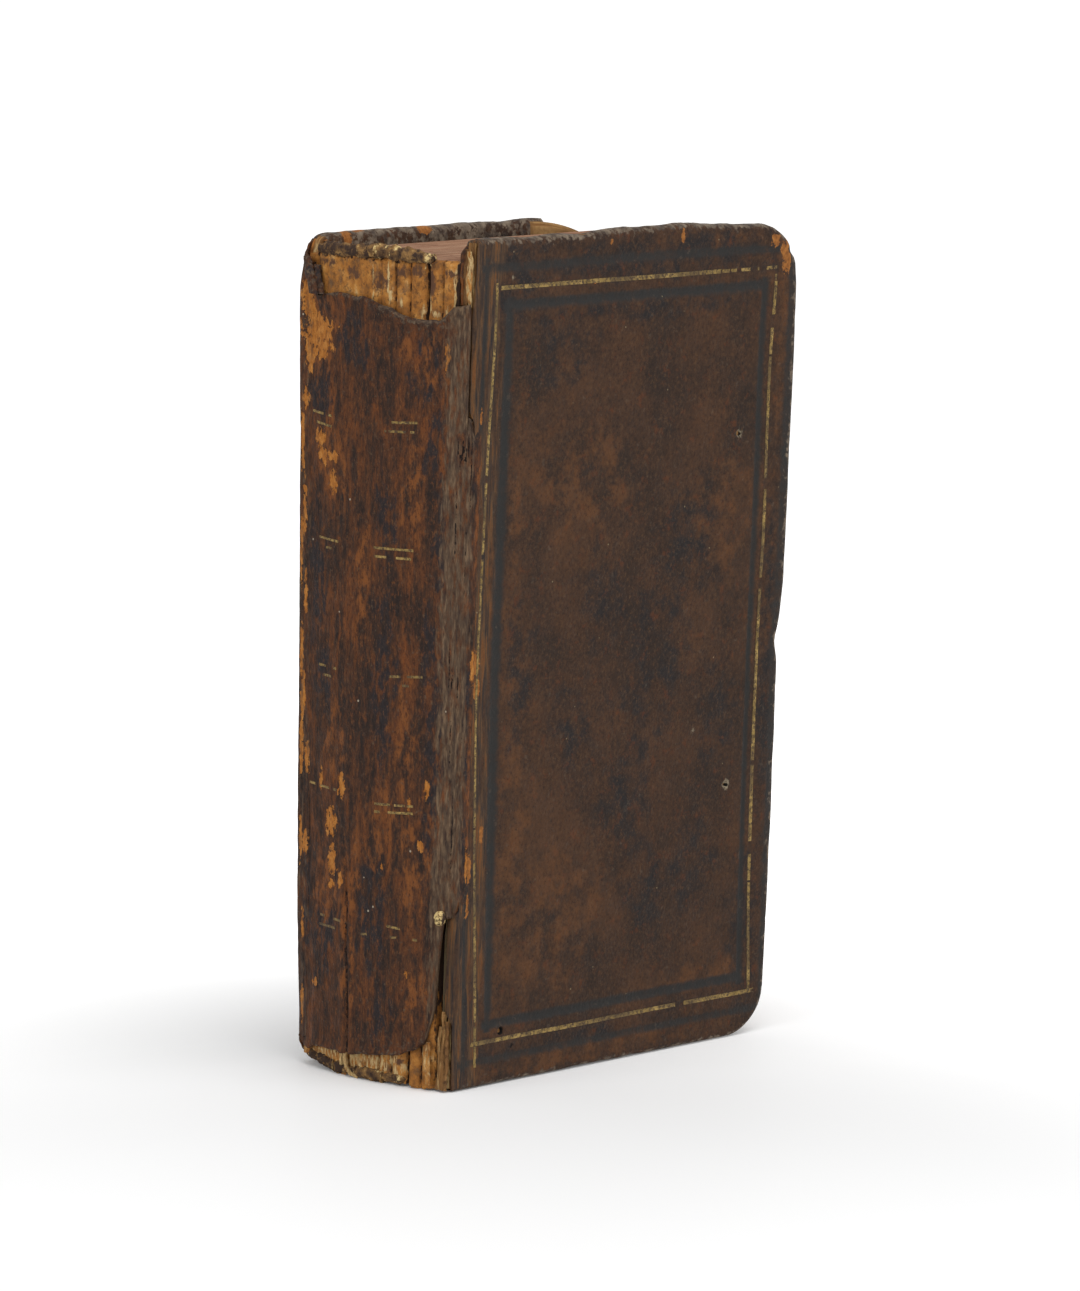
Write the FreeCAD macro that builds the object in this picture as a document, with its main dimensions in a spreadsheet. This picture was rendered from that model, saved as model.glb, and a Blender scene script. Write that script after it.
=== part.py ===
"""Antique leather book: a small, thick duodecimo in worn brown calf, standing upright on its tail.

The frame: +Z runs from tail to head, +X from the spine to the fore edge, and the front cover lies at -Y.
The origin is under the middle of the closed book, on the surface that it stands on. Lengths are in mm.

The book is sewn on five cords that lie in sawn grooves, its back is rounded and the leather is pasted
straight on to the folds. Both covers turn about the upright edge where their outer face meets the spine.
"""
import FreeCAD, Part
import os
import re
import Sketcher

# Driving sizes
SIZES = (
    ("board_height", 148, "cover, tail to head"),
    ("board_width", 87, "cover, joint to fore edge"),
    ("book_thickness", 38, "over both closed covers"),
    ("spine_bulge", 3.8, "how far the rounded spine stands out past the joints"),
    ("head_square", 3.0, "cover beyond the pages at the head"),
    ("tail_square", 2.4, "cover beyond the pages at the tail"),
    ("fore_square", 3.0, "cover beyond the pages at the fore edge"),
    ("cover_skin", 0.7, "leather on the outside and edges of a cover"),
    ("pasteboard", 2.4, "board inside a cover"),
    ("turn_in", 0.3, "pared leather folded over the inside of the board"),
    ("turn_in_width", 13, "width of the folded leather, under the pastedown"),
    ("pastedown", 0.2, "paper pasted on the inside of a cover"),
    ("pastedown_margin", 4, "leather left bare round the pastedown"),
    ("infill_play", 0.1, "between the infill paper and the folded leather"),
    ("cover_gap", 0.3, "air between a closed cover and the pages"),
    ("joint_dip", 0.3, "spine leather below the outer face at the joint"),
    ("joint_gap", 0.35, "between the shoulder and the edge of the board"),
    ("spine_skin", 0.8, "leather on the spine"),
    ("leather_head", 1.4, "cover beyond the spine leather at the head"),
    ("leather_tail", 0.8, "cover beyond the spine leather at the tail"),
    ("fore_hollow", 2.6, "depth of the hollow fore edge"),
    ("gatherings", 10, "folded sections in the block"),
    ("valley_depth", 0.7, "valley between two folds at the spine"),
    ("valley_width", 0.5, "valley between two folds at the spine"),
    ("cord_diameter", 2.0, "sewing cord"),
    ("cord_play", 0.08, "air round a cord in its sawn groove"),
    ("cord_count", 5, "sewing cords"),
    ("cord_pitch", 22.15, "from one cord to the next"),
    ("first_cord", 28.3, "height of the lowest cord"),
    ("band_diameter", 1.8, "rolled core of an endband"),
    ("head_band_back", 14.3, "reach of the head endband to the back"),
    ("head_band_front", 10.6, "reach of the head endband to the front"),
    ("tail_band_back", 15.0, "reach of the tail endband to the back"),
    ("tail_band_front", 9.5, "reach of the tail endband to the front"),
    ("slip_reach", 9, "laced cord end, from the joint into the board"),
    ("slip_width", 1.8, "laced cord end, flattened"),
    ("slip_thickness", 0.9, "laced cord end, flattened"),
    ("slip_play", 0.05, "air round a laced cord end"),
    ("front_head_corner", 8, "worn round corner of the front cover"),
    ("front_tail_corner", 10, "worn round corner of the front cover"),
    ("back_head_corner", 8, "round corner of the back cover under the loss"),
    ("back_tail_corner", 8, "worn round corner of the back cover"),
    ("lost_corner_width", 30, "back cover's lost head corner, along the head"),
    ("lost_corner_height", 20, "back cover's lost head corner, down the fore edge"),
    ("lost_corner_radius", 25.6, "curve of that loss"),
    ("gilt_width", 0.75, "gold line on a cover"),
    ("gilt_depth", 0.12, "how deep the lines are tooled"),
    ("gilt_leaf", 0.08, "gold filling in a tooled line"),
    ("gilt_joint", 6.0, "gold frame from the joint"),
    ("gilt_fore", 4.0, "gold frame from the fore edge"),
    ("gilt_head", 7.3, "gold frame from the head"),
    ("gilt_tail", 7.6, "gold frame from the tail"),
    ("blind_width", 0.45, "line tooled without gold"),
    ("blind_step", 3.1, "blind line to either side of the gold frame"),
    ("rule_width", 0.6, "gold rule across the spine"),
    ("rule_space", 1.9, "between the two rules of a pair"),
    ("rule_drop", 2.0, "lower rule of a pair below its cord"),
    ("head_loss", 13.5, "leather lost at the head of the spine, at its deepest"),
    ("tail_loss", 8.0, "leather lost at the tail of the spine, beside the front joint"),
    ("crack_height", 30, "open front joint, from the tail"),
    ("head_tear_width", 3.4, "front cover's torn leather at the head of the joint"),
    ("head_tear_height", 16, "front cover's torn leather at the head of the joint"),
    ("tail_tear_width", 3.2, "front cover's torn leather at the tail of the joint"),
    ("tail_tear_height", 13, "front cover's torn leather at the tail of the joint"),
    ("worm_hole", 1.2, "bored by a bookworm"),
    ("worm_depth", 1.6, "bored by a bookworm"),
)

# Worm holes in the front cover, each measured from the joint and from the tail
WORM_HOLES = ((12.9, 9.4), (73.8, 110.8), (73.5, 47.0))

FRONT = 1
BACK = -1

doc = FreeCAD.newDocument("leather_book")
sheet = doc.addObject("Spreadsheet::Sheet", "Sizes")
for row, (alias, size, meaning) in enumerate(SIZES, 1):
    sheet.set(f"A{row}", meaning)
    sheet.set(f"B{row}", str(size))
    sheet.setAlias(f"B{row}", alias)
doc.recompute()


# Formulas
def expression(formula):
    """Turn a formula written with size names into an expression on the sheet."""
    return re.sub(r"\b[a-z]\w*\b(?!\()", lambda word: "Sizes." + word[0], formula)


def value(formula):
    """Work out a formula now, in mm or degrees."""
    result = sheet.evalExpression(expression(formula))
    return float(getattr(result, "Value", result))


def arc_radius(half_chord, rise):
    """Radius of the arc that rises this far over this half chord."""
    return f"((({half_chord})^2 + ({rise})^2) / (2 * ({rise})))"


# Places that several pieces share, along X from the middle of the book
JOINT = "(spine_bulge - board_width) / 2"
SKIN_HALF = "(book_thickness / 2 - joint_dip)"
SKIN_RISE = "(spine_bulge - joint_gap)"
SKIN_RADIUS = arc_radius(SKIN_HALF, SKIN_RISE)
SKIN_CENTRE = f"{JOINT} - spine_bulge + {SKIN_RADIUS}"
FOLD_HALF = "(book_thickness / 2 - joint_dip - spine_skin)"
FOLD_RISE = "(spine_bulge - joint_gap - spine_skin)"
FOLD_RADIUS = arc_radius(FOLD_HALF, FOLD_RISE)
FOLD_CENTRE = f"{JOINT} - spine_bulge + spine_skin + {FOLD_RADIUS}"
COVER_THICKNESS = "(cover_skin + pasteboard + turn_in + pastedown)"
BLOCK_HALF = f"(book_thickness / 2 - {COVER_THICKNESS} - cover_gap)"


# Drawing helpers
def origin_part(body, role):
    """An origin plane or axis of this body."""
    return next(part for part in body.Origin.OriginFeatures if part.Role == role)


def new_body(name, x="0", y="0"):
    """A sub-part with its own name and place."""
    body = doc.addObject("PartDesign::Body", name)
    body.Label = name
    body.setExpression("Placement.Base.x", expression(x))
    body.setExpression("Placement.Base.y", expression(y))
    return body


def new_sketch(body, name, plane, offset="0"):
    """A sketch on an origin plane of the body, moved along the plane's normal."""
    sketch = body.newObject("Sketcher::SketchObject", name)
    sketch.AttachmentSupport = [(origin_part(body, plane), "")]
    sketch.MapMode = "FlatFace"
    sketch.setExpression("AttachmentOffset.Base.z", expression(offset))
    return sketch


def about_upright(placement):
    """The same place with the upright line as its axis of rotation, so that a formula can set the angle."""
    return FreeCAD.Placement(placement.Base, FreeCAD.Rotation(FreeCAD.Vector(0, 0, 1), -1))


def pin(sketch, edge, end, x, y):
    """Hold one end of an edge at a place given by two formulas."""
    for direction, formula in (("DistanceX", x), ("DistanceY", y)):
        number = sketch.addConstraint(Sketcher.Constraint(direction, -1, 1, edge, end, value(formula)))
        sketch.setExpression(f"Constraints[{number}]", expression(formula))


def draw_ring(sketch, corners):
    """Close a ring through corners. A corner is (x, y), or (x, y, radius, turn) where an arc starts.

    turn is 1 for an arc that bends to the left as the ring is followed, and -1 for one to the right.
    """
    places = [FreeCAD.Vector(value(corner[0]), value(corner[1]), 0) for corner in corners]
    first = sketch.GeometryCount
    ends = []
    for number, corner in enumerate(corners):
        start = places[number]
        finish = places[(number + 1) % len(corners)]
        if len(corner) == 2:
            sketch.addGeometry(Part.LineSegment(start, finish), False)
            ends.append((1, 2))
            continue
        radius = value(corner[2])
        turn = corner[3]
        chord = finish - start
        height = (radius ** 2 - (chord.Length / 2) ** 2) ** 0.5
        left = FreeCAD.Vector(-chord.y, chord.x, 0).normalize()
        centre = (start + finish) * 0.5 + left * (turn * height)
        circle = Part.Circle(centre, FreeCAD.Vector(0, 0, 1), radius)
        order = (start, finish) if turn > 0 else (finish, start)
        arc = Part.ArcOfCircle(circle, circle.parameter(order[0]), circle.parameter(order[1]))
        sketch.addGeometry(arc, False)
        ends.append((1, 2) if turn > 0 else (2, 1))
    for number, corner in enumerate(corners):
        edge = first + number
        before = (number - 1) % len(corners)
        join = Sketcher.Constraint("Coincident", first + before, ends[before][1], edge, ends[number][0])
        sketch.addConstraint(join)
        pin(sketch, edge, ends[number][0], corner[0], corner[1])
        if len(corner) > 2:
            index = sketch.addConstraint(Sketcher.Constraint("Radius", edge, value(corner[2])))
            sketch.setExpression(f"Constraints[{index}]", expression(corner[2]))


def draw_circle(sketch, x, y, diameter):
    """A round outline about a place given by two formulas."""
    centre = FreeCAD.Vector(value(x), value(y), 0)
    edge = sketch.addGeometry(Part.Circle(centre, FreeCAD.Vector(0, 0, 1), value(diameter) / 2), False)
    pin(sketch, edge, 3, x, y)
    number = sketch.addConstraint(Sketcher.Constraint("Diameter", edge, value(diameter)))
    sketch.setExpression(f"Constraints[{number}]", expression(diameter))


def rectangle(left, right, low, high):
    """Corners of a rectangle, each side a formula."""
    return [(left, low), (right, low), (right, high), (left, high)]


def extrude(body, name, sketch, length, cut=False):
    """Pad or pocket a sketch by half the length to each side of it."""
    feature = body.newObject("PartDesign::Pocket" if cut else "PartDesign::Pad", name)
    feature.Profile = sketch
    feature.SideType = "Symmetric"
    feature.setExpression("Length", expression(length))
    return feature


def turn(body, name, sketch, angle, cut=False):
    """Revolve or groove a sketch about the body's upright axis, half the angle to each side."""
    feature = body.newObject("PartDesign::Groove" if cut else "PartDesign::Revolution", name)
    feature.Profile = sketch
    feature.ReferenceAxis = (origin_part(body, "Z_Axis"), [""])
    feature.Midplane = True
    feature.setExpression("Angle", expression(angle))
    return feature


def repeat_up(body, name, feature):
    """Repeat a feature at every cord."""
    pattern = body.newObject("PartDesign::LinearPattern", name)
    pattern.Originals = [feature]
    pattern.Direction = (origin_part(body, "Z_Axis"), [""])
    pattern.Mode = "Spacing"
    pattern.setExpression("Offset", expression("cord_pitch"))
    pattern.setExpression("Occurrences", expression("cord_count"))
    body.Tip = pattern


def layer(body, name, side, start, thickness, rings, cut=False):
    """A flat layer of a cover, from this depth below the outer face, inwards."""
    sketch = new_sketch(body, name + "_outline", "XZ_Plane", f"{-side} * ({start} + ({thickness}) / 2)")
    for ring in rings:
        draw_ring(sketch, ring)
    return extrude(body, name, sketch, thickness, cut)


# Pages
def make_text_block():
    """All leaves as one solid: rounded back with its folds, shoulders, and a hollow fore edge."""
    body = new_body("text_block", FOLD_CENTRE)
    shoulder = f"{FOLD_RISE} - {FOLD_RADIUS}"
    fore = f"{shoulder} + joint_gap + board_width - fore_square"
    sketch = new_sketch(body, "block_outline", "XY_Plane", "(board_height - head_square + tail_square) / 2")
    draw_ring(sketch, [
        (shoulder, f"-{FOLD_HALF}"),
        (shoulder, f"-{BLOCK_HALF}"),
        (fore, f"-{BLOCK_HALF}", arc_radius(BLOCK_HALF, "fore_hollow"), -1),
        (fore, BLOCK_HALF),
        (shoulder, BLOCK_HALF),
        (shoulder, FOLD_HALF, FOLD_RADIUS, 1),
    ])
    extrude(body, "pages", sketch, "board_height - head_square - tail_square")

    step = f"2 * asin({FOLD_HALF} / {FOLD_RADIUS}) / gatherings"
    valley = new_sketch(body, "valley_outline", "XY_Plane", "board_height / 2")
    valley.AttachmentOffset = about_upright(valley.AttachmentOffset)
    valley.setExpression("AttachmentOffset.Rotation.Angle", expression(f"-(gatherings / 2 - 1) * {step}"))
    draw_ring(valley, [
        (f"valley_depth - {FOLD_RADIUS}", "0"),
        (f"-valley_depth - {FOLD_RADIUS}", "valley_width"),
        (f"-valley_depth - {FOLD_RADIUS}", "-valley_width"),
    ])
    cut = extrude(body, "valley", valley, "board_height", cut=True)
    valleys = body.newObject("PartDesign::PolarPattern", "valleys")
    valleys.Originals = [cut]
    valleys.Axis = (origin_part(body, "Z_Axis"), [""])
    valleys.Mode = "Spacing"
    valleys.setExpression("Offset", expression(step))
    valleys.setExpression("Occurrences", expression("gatherings - 1"))
    body.Tip = valleys

    saw = new_sketch(body, "saw_outline", "XZ_Plane")
    depth = "cord_diameter + cord_play"
    draw_ring(saw, rectangle(
        f"-({FOLD_RADIUS} + {depth})", f"{depth} - {FOLD_RADIUS}",
        "first_cord - cord_diameter / 2 - cord_play", "first_cord + cord_diameter / 2 + cord_play"))
    groove = turn(body, "sawn_groove", saw, f"2.2 * asin({FOLD_HALF} / {FOLD_RADIUS})", cut=True)
    repeat_up(body, "sawn_grooves", groove)


# Cords and endbands
def make_cord(number):
    """One sewing cord, round the back in its sawn groove."""
    body = new_body(f"sewing_cord_{number + 1}", FOLD_CENTRE)
    sketch = new_sketch(body, f"cord_outline_{number + 1}", "XZ_Plane")
    draw_circle(sketch, f"(cord_diameter + cord_play) / 2 - {FOLD_RADIUS}",
                f"first_cord + {number} * cord_pitch", "cord_diameter")
    turn(body, f"cord_{number + 1}", sketch, f"2 * asin({BLOCK_HALF} / {FOLD_RADIUS})")


def make_endband(name, height, back_reach, front_reach):
    """The rolled core that stands on an end of the folds."""
    body = new_body(name, FOLD_CENTRE)
    body.Placement = about_upright(body.Placement)
    back = f"asin({back_reach} / {FOLD_RADIUS})"
    front = f"asin({front_reach} / {FOLD_RADIUS})"
    body.setExpression("Placement.Rotation.Angle", expression(f"({front} - {back}) / 2"))
    sketch = new_sketch(body, name + "_outline", "XZ_Plane")
    draw_circle(sketch, f"band_diameter / 2 - {FOLD_RADIUS}", height, "band_diameter")
    turn(body, name + "_roll", sketch, f"{back} + {front}")


# Spine leather
def make_spine_leather():
    """The leather on the back, torn away at head and tail down to the folds."""
    body = new_body("spine_leather", SKIN_CENTRE)
    edge = f"{SKIN_RISE} - {SKIN_RADIUS}"
    sketch = new_sketch(body, "spine_outline", "XY_Plane", "(board_height - leather_head + leather_tail) / 2")
    draw_ring(sketch, [
        (edge, f"-{SKIN_HALF}"),
        (edge, f"-{FOLD_HALF}", FOLD_RADIUS, -1),
        (edge, FOLD_HALF),
        (edge, SKIN_HALF, SKIN_RADIUS, 1),
    ])
    extrude(body, "skin", sketch, "board_height - leather_head - leather_tail")

    above = "board_height + leather_head"
    torn_head = new_sketch(body, "torn_head_outline", "YZ_Plane", f"-{SKIN_RADIUS}")
    draw_ring(torn_head, [
        (f"0.93 * {SKIN_HALF}", above),
        (f"0.84 * {SKIN_HALF}", "board_height - 0.78 * head_loss"),
        (f"0.40 * {SKIN_HALF}", "board_height - 0.73 * head_loss"),
        (f"0.13 * {SKIN_HALF}", "board_height - 0.76 * head_loss"),
        (f"-0.16 * {SKIN_HALF}", "board_height - 0.88 * head_loss"),
        (f"-0.40 * {SKIN_HALF}", "board_height - 0.98 * head_loss"),
        (f"-0.68 * {SKIN_HALF}", "board_height - head_loss"),
        (f"-0.82 * {SKIN_HALF}", "board_height - 0.78 * head_loss"),
        (f"-1.20 * {SKIN_HALF}", "board_height - 0.90 * head_loss"),
        (f"-1.20 * {SKIN_HALF}", above),
    ])
    extrude(body, "torn_head", torn_head, "board_width", cut=True)

    below = "-leather_tail"
    torn_tail = new_sketch(body, "torn_tail_outline", "YZ_Plane", f"-{SKIN_RADIUS}")
    draw_ring(torn_tail, [
        (f"0.86 * {SKIN_HALF}", below),
        (f"0.80 * {SKIN_HALF}", "0.52 * tail_loss"),
        (f"0.16 * {SKIN_HALF}", "0.52 * tail_loss"),
        (f"-0.48 * {SKIN_HALF}", "0.69 * tail_loss"),
        (f"-0.74 * {SKIN_HALF}", "tail_loss"),
        (f"-0.84 * {SKIN_HALF}", "0.5 * crack_height"),
        (f"-0.86 * {SKIN_HALF}", "0.8 * crack_height"),
        (f"-0.93 * {SKIN_HALF}", "crack_height"),
        (f"-1.20 * {SKIN_HALF}", "crack_height"),
        (f"-1.20 * {SKIN_HALF}", below),
    ])
    extrude(body, "torn_tail", torn_tail, "board_width", cut=True)
    repeat_up(body, "rule_grooves_low", make_rule(body, "low", "gilt_depth", cut=True))
    repeat_up(body, "rule_grooves_high", make_rule(body, "high", "gilt_depth", cut=True))


def make_rule(body, name, depth, cut=False):
    """One of a pair of rules round the spine, as a tooled groove or as the gold in it."""
    low = "first_cord - rule_drop" + (" + rule_space" if name == "high" else "")
    bottom = f"gilt_depth - {SKIN_RADIUS}"
    top = f"-gilt_depth - {SKIN_RADIUS}" if cut else f"{bottom} - {depth}"
    sketch = new_sketch(body, body.Name + "_" + name, "XZ_Plane")
    draw_ring(sketch, rectangle(top, bottom, low, low + " + rule_width"))
    return turn(body, body.Name + "_rule_" + name, sketch, f"1.7 * asin({SKIN_HALF} / {SKIN_RADIUS})", cut)


def make_spine_rules():
    """Five pairs of gold rules across the spine, one pair over each cord."""
    body = new_body("spine_gilt_rules", SKIN_CENTRE)
    repeat_up(body, "rules_low", make_rule(body, "low", "gilt_leaf"))
    repeat_up(body, "rules_high", make_rule(body, "high", "gilt_leaf"))


# Covers
def cover_ring(side, start, inset):
    """Outline of a cover, drawn in by inset at head, tail and fore edge, with its worn corners."""
    head = "front_head_corner" if side == FRONT else "back_head_corner"
    tail = "front_tail_corner" if side == FRONT else "back_tail_corner"
    fore = f"board_width - {inset}"
    top = f"board_height - {inset}"
    return [
        (start, inset),
        (f"board_width - {tail}", inset, f"{tail} - {inset}", 1),
        (fore, tail),
        (fore, f"board_height - {head}", f"{head} - {inset}", 1),
        (f"board_width - {head}", top),
        (start, top),
    ]


def lose_corner(body, side):
    """Cut away the back cover's head corner, which is worn off through board and leather."""
    if side == FRONT:
        return
    outside_x = "board_width + lost_corner_height"
    outside_z = "board_height + lost_corner_height"
    ring = [
        ("board_width - lost_corner_width", "board_height", "lost_corner_radius", -1),
        ("board_width", "board_height - lost_corner_height"),
        (outside_x, "board_height - lost_corner_height"),
        (outside_x, outside_z),
        ("board_width - lost_corner_width", outside_z),
    ]
    layer(body, body.Name + "_loss", side, f"-{COVER_THICKNESS}", f"3 * {COVER_THICKNESS}", [ring], cut=True)


def torn_strip(width, height, at_tail=False):
    """Outline of a strip torn from the front cover along the joint, at its head or at its tail."""
    steps = ((0, 1), (0.3, 0.92), (0.85, 0.7), (0.75, 0.4), (1, 0), (1, -0.1), (-1, -0.1), (-1, 1))
    start = "" if at_tail else "board_height - "
    return [(f"{across} * {width}", f"{start}{along} * {height}") for across, along in steps]


def bore_worm_holes(body):
    """Round holes from the outer face of the front cover into its board."""
    sketch = new_sketch(body, body.Name + "_worm_outline", "XZ_Plane")
    for from_joint, from_tail in WORM_HOLES:
        draw_circle(sketch, str(from_joint), str(from_tail), "worm_hole")
    extrude(body, body.Name + "_worm_holes", sketch, "2 * worm_depth", cut=True)


def frame_rings(offset, width):
    """A line all round, this far outside the gold frame, as an outer and an inner ring."""
    sides = ("gilt_joint", "board_width - gilt_fore", "gilt_tail", "board_height - gilt_head")
    grown = [f"{place} {sign} ({offset})" for place, sign in zip(sides, "-+-+")]
    shrunk = [f"{place} {sign} ({width})" for place, sign in zip(grown, "+-+-")]
    return [rectangle(*grown), rectangle(*shrunk)]


def make_board(name, side, y):
    """The pasteboard, with a channel and a hole for each laced cord end."""
    body = new_body(name + "_board", JOINT, y)
    layer(body, name + "_plate", side, "cover_skin", "pasteboard", [cover_ring(side, "0", "cover_skin")])
    if side == FRONT:
        chewed = torn_strip("0.5 * head_tear_width", "0.6 * head_tear_height")
        layer(body, name + "_chewed", side, "0", "cover_skin + pasteboard + turn_in", [chewed], cut=True)
        bore_worm_holes(body)
    lose_corner(body, side)
    width = "slip_width / 2 + slip_play"
    low = f"first_cord - ({width})"
    high = f"first_cord + {width}"
    end = "slip_reach + slip_play"
    channel = layer(body, name + "_channel", side, "0", "cover_skin + slip_thickness + slip_play",
                    [rectangle("-slip_reach", end, low, high)], cut=True)
    repeat_up(body, name + "_channels", channel)
    hole = layer(body, name + "_hole", side, "0", "cover_skin + pasteboard + turn_in",
                 [rectangle("slip_reach - slip_width - slip_play", end, low, high)], cut=True)
    repeat_up(body, name + "_holes", hole)


def make_leather(name, side, y):
    """The leather over a board: outer face, wrapped edges, and the part folded inside."""
    body = new_body(name + "_leather", JOINT, y)
    layer(body, name + "_skin", side, "0", "cover_skin + pasteboard + turn_in", [cover_ring(side, "0", "0")])
    layer(body, name + "_board_space", side, "cover_skin", "pasteboard",
          [cover_ring(side, "-board_width", "cover_skin")], cut=True)
    window = rectangle("-board_width", "board_width - turn_in_width",
                       "turn_in_width", "board_height - turn_in_width")
    layer(body, name + "_window", side, "cover_skin + pasteboard - turn_in", "3 * turn_in",
          [window], cut=True)
    if side == FRONT:
        head_tear = torn_strip("head_tear_width", "head_tear_height")
        tail_tear = torn_strip("tail_tear_width", "tail_tear_height", at_tail=True)
        layer(body, name + "_tears", side, "-cover_skin", f"2 * {COVER_THICKNESS}",
              [head_tear, tail_tear], cut=True)
        bore_worm_holes(body)
    lose_corner(body, side)
    lines = (("gold_groove", "0", "gilt_width"), ("outer_line", "blind_step", "blind_width"),
             ("inner_line", "-blind_step", "blind_width"))
    for line, offset, width in lines:
        rings = frame_rings(offset, width)
        layer(body, f"{name}_{line}", side, "-gilt_depth", "2 * gilt_depth", rings, cut=True)


def make_gilt_frame(name, side, y):
    """The gold line round a cover, lying in its tooled groove."""
    body = new_body(name + "_gilt_frame", JOINT, y)
    layer(body, name + "_gold", side, "gilt_depth - gilt_leaf", "gilt_leaf", frame_rings("0", "gilt_width"))
    lose_corner(body, side)


def make_pastedown(name, side, y):
    """Paper on the inside of a cover, over the folded leather and filling the window in it."""
    body = new_body(name + "_pastedown", JOINT, y)
    paper = rectangle("joint_gap", "board_width - pastedown_margin",
                      "pastedown_margin", "board_height - pastedown_margin")
    layer(body, name + "_paper", side, "cover_skin + pasteboard + turn_in", "pastedown", [paper])
    edge = "(turn_in_width + infill_play)"
    infill = rectangle("joint_gap", f"board_width - {edge}", edge, f"board_height - {edge}")
    layer(body, name + "_infill", side, "cover_skin + pasteboard", "turn_in", [infill])
    lose_corner(body, side)


def make_cord_slips(name, side, y):
    """The cord ends laced into a board: along its outer face, then through it."""
    body = new_body(name + "_cord_slips", JOINT, y)
    low = "first_cord - slip_width / 2"
    high = "first_cord + slip_width / 2"
    flat = layer(body, name + "_slip", side, "cover_skin", "slip_thickness",
                 [rectangle("slip_play", "slip_reach", low, high)])
    repeat_up(body, name + "_slips", flat)
    through = layer(body, name + "_slip_end", side, "cover_skin", "pasteboard",
                    [rectangle("slip_reach - slip_width", "slip_reach", low, high)])
    repeat_up(body, name + "_slip_ends", through)


def make_cover(name, side):
    """All pieces of one cover, each placed on the line that the cover turns about."""
    y = f"{-side} * book_thickness / 2"
    make_board(name, side, y)
    make_leather(name, side, y)
    make_gilt_frame(name, side, y)
    make_pastedown(name, side, y)
    make_cord_slips(name, side, y)


# The book
make_text_block()
for number in range(int(value("cord_count"))):
    make_cord(number)
head_seat = "board_height - head_square + band_diameter / 2"
tail_seat = "tail_square - band_diameter / 2"
make_endband("head_endband", head_seat, "head_band_back", "head_band_front")
make_endband("tail_endband", tail_seat, "tail_band_back", "tail_band_front")
make_spine_leather()
make_spine_rules()
make_cover("front", FRONT)
make_cover("back", BACK)
doc.recompute()

# Nothing is written unless every object is sound
bodies = [item for item in doc.Objects if item.TypeId == "PartDesign::Body"]
for item in doc.Objects:
    if "Invalid" in item.State or "Error" in item.State:
        raise RuntimeError(f"{item.Name} failed: {item.State}")
for body in bodies:
    if body.Shape.isNull() or not body.Shape.isValid() or not body.Shape.Solids:
        raise RuntimeError(f"{body.Label} has no sound shape")

os.makedirs("parts", exist_ok=True)
for body in bodies:
    body.Shape.exportStep(f"parts/{body.Label}.step")
    print(f"{body.Label}: {len(body.Shape.Solids)} solids, {body.Shape.Volume:.1f} mm3")
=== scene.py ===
# %% [markdown]
# # An antique leather book
# This lesson dresses a small calf-bound book, about three centuries old, that stands on the tail edges
# of its covers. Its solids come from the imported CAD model, which gives every size. Here each solid gets
# the shape of worn leather, paper and cord, and a finish made of nodes. Everything is in metres, in the
# CAD model's own frame: x runs from the spine to the fore edge, y from the front cover to the back
# cover, and z from the floor up.

# %% Load the fixed frame
import math

import bmesh
import bpy
import numpy as np
from mathutils import Matrix, Vector


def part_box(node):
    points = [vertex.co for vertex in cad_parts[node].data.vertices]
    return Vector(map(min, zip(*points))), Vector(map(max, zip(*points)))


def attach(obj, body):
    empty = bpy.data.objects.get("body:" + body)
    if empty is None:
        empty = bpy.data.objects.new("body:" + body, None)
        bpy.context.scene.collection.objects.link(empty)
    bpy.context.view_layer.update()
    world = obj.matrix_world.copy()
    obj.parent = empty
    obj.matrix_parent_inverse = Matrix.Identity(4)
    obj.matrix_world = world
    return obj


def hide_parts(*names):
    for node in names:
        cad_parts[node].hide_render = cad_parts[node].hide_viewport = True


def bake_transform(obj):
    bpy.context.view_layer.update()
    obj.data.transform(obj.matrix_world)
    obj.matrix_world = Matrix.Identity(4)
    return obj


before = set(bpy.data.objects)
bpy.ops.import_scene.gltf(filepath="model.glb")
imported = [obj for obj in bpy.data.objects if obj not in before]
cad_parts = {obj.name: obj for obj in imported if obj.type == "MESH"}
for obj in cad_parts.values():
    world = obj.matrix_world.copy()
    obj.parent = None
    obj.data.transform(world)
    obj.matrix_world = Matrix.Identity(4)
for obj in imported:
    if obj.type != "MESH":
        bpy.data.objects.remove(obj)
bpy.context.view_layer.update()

# %% [markdown]
# A maker thinks of this book in millimetres, so all shapes below are worked out in millimetres and
# turned into metres once, when a mesh is made. The main places are read from the CAD nodes, so that the
# leather can never drift away from the boards that carry it.

# %% Read the main places of the book
MM = 0.001


def corners(node):
    low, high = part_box(node)
    return np.array(low) / MM, np.array(high) / MM


front_low, front_high = corners("front_leather")
JOINT = float(front_low[0])
FORE = float(front_high[0])
HALF = float(corners("back_leather")[1][1])
HEIGHT = float(front_high[2])
WIDTH = FORE - JOINT
THICK = float(front_high[1] - front_low[1])
print("joint", JOINT, "fore edge", FORE, "height", HEIGHT)
print("half thickness", HALF, "cover", round(THICK, 2))

# %% [markdown]
# The book has settled out of square with age: seen from the spine, the front cover leans a little
# towards the fore edge at the head, and the back cover leans the other way. One small shear does this
# for every piece, so the pieces stay together. Over the whole height each cover leans by 2.5 mm.

# %% Lean of the old book
LEAN = 2.5


def leaned(points):
    out = np.array(points, float).reshape(-1, 3)
    out[:, 0] -= LEAN * (out[:, 2] / HEIGHT - 0.5) * out[:, 1] / HALF
    return out


# %% [markdown]
# Old leather is never smooth. Its waves, creases and torn edges need smooth random fields that are the
# same at each run. A small lattice of random numbers, read between its points with soft steps, gives
# them; a few octaves added together look like a natural surface.

# %% Smooth random fields
LATTICE = np.random.default_rng(1709).uniform(-1, 1, (32, 32, 32))


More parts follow.
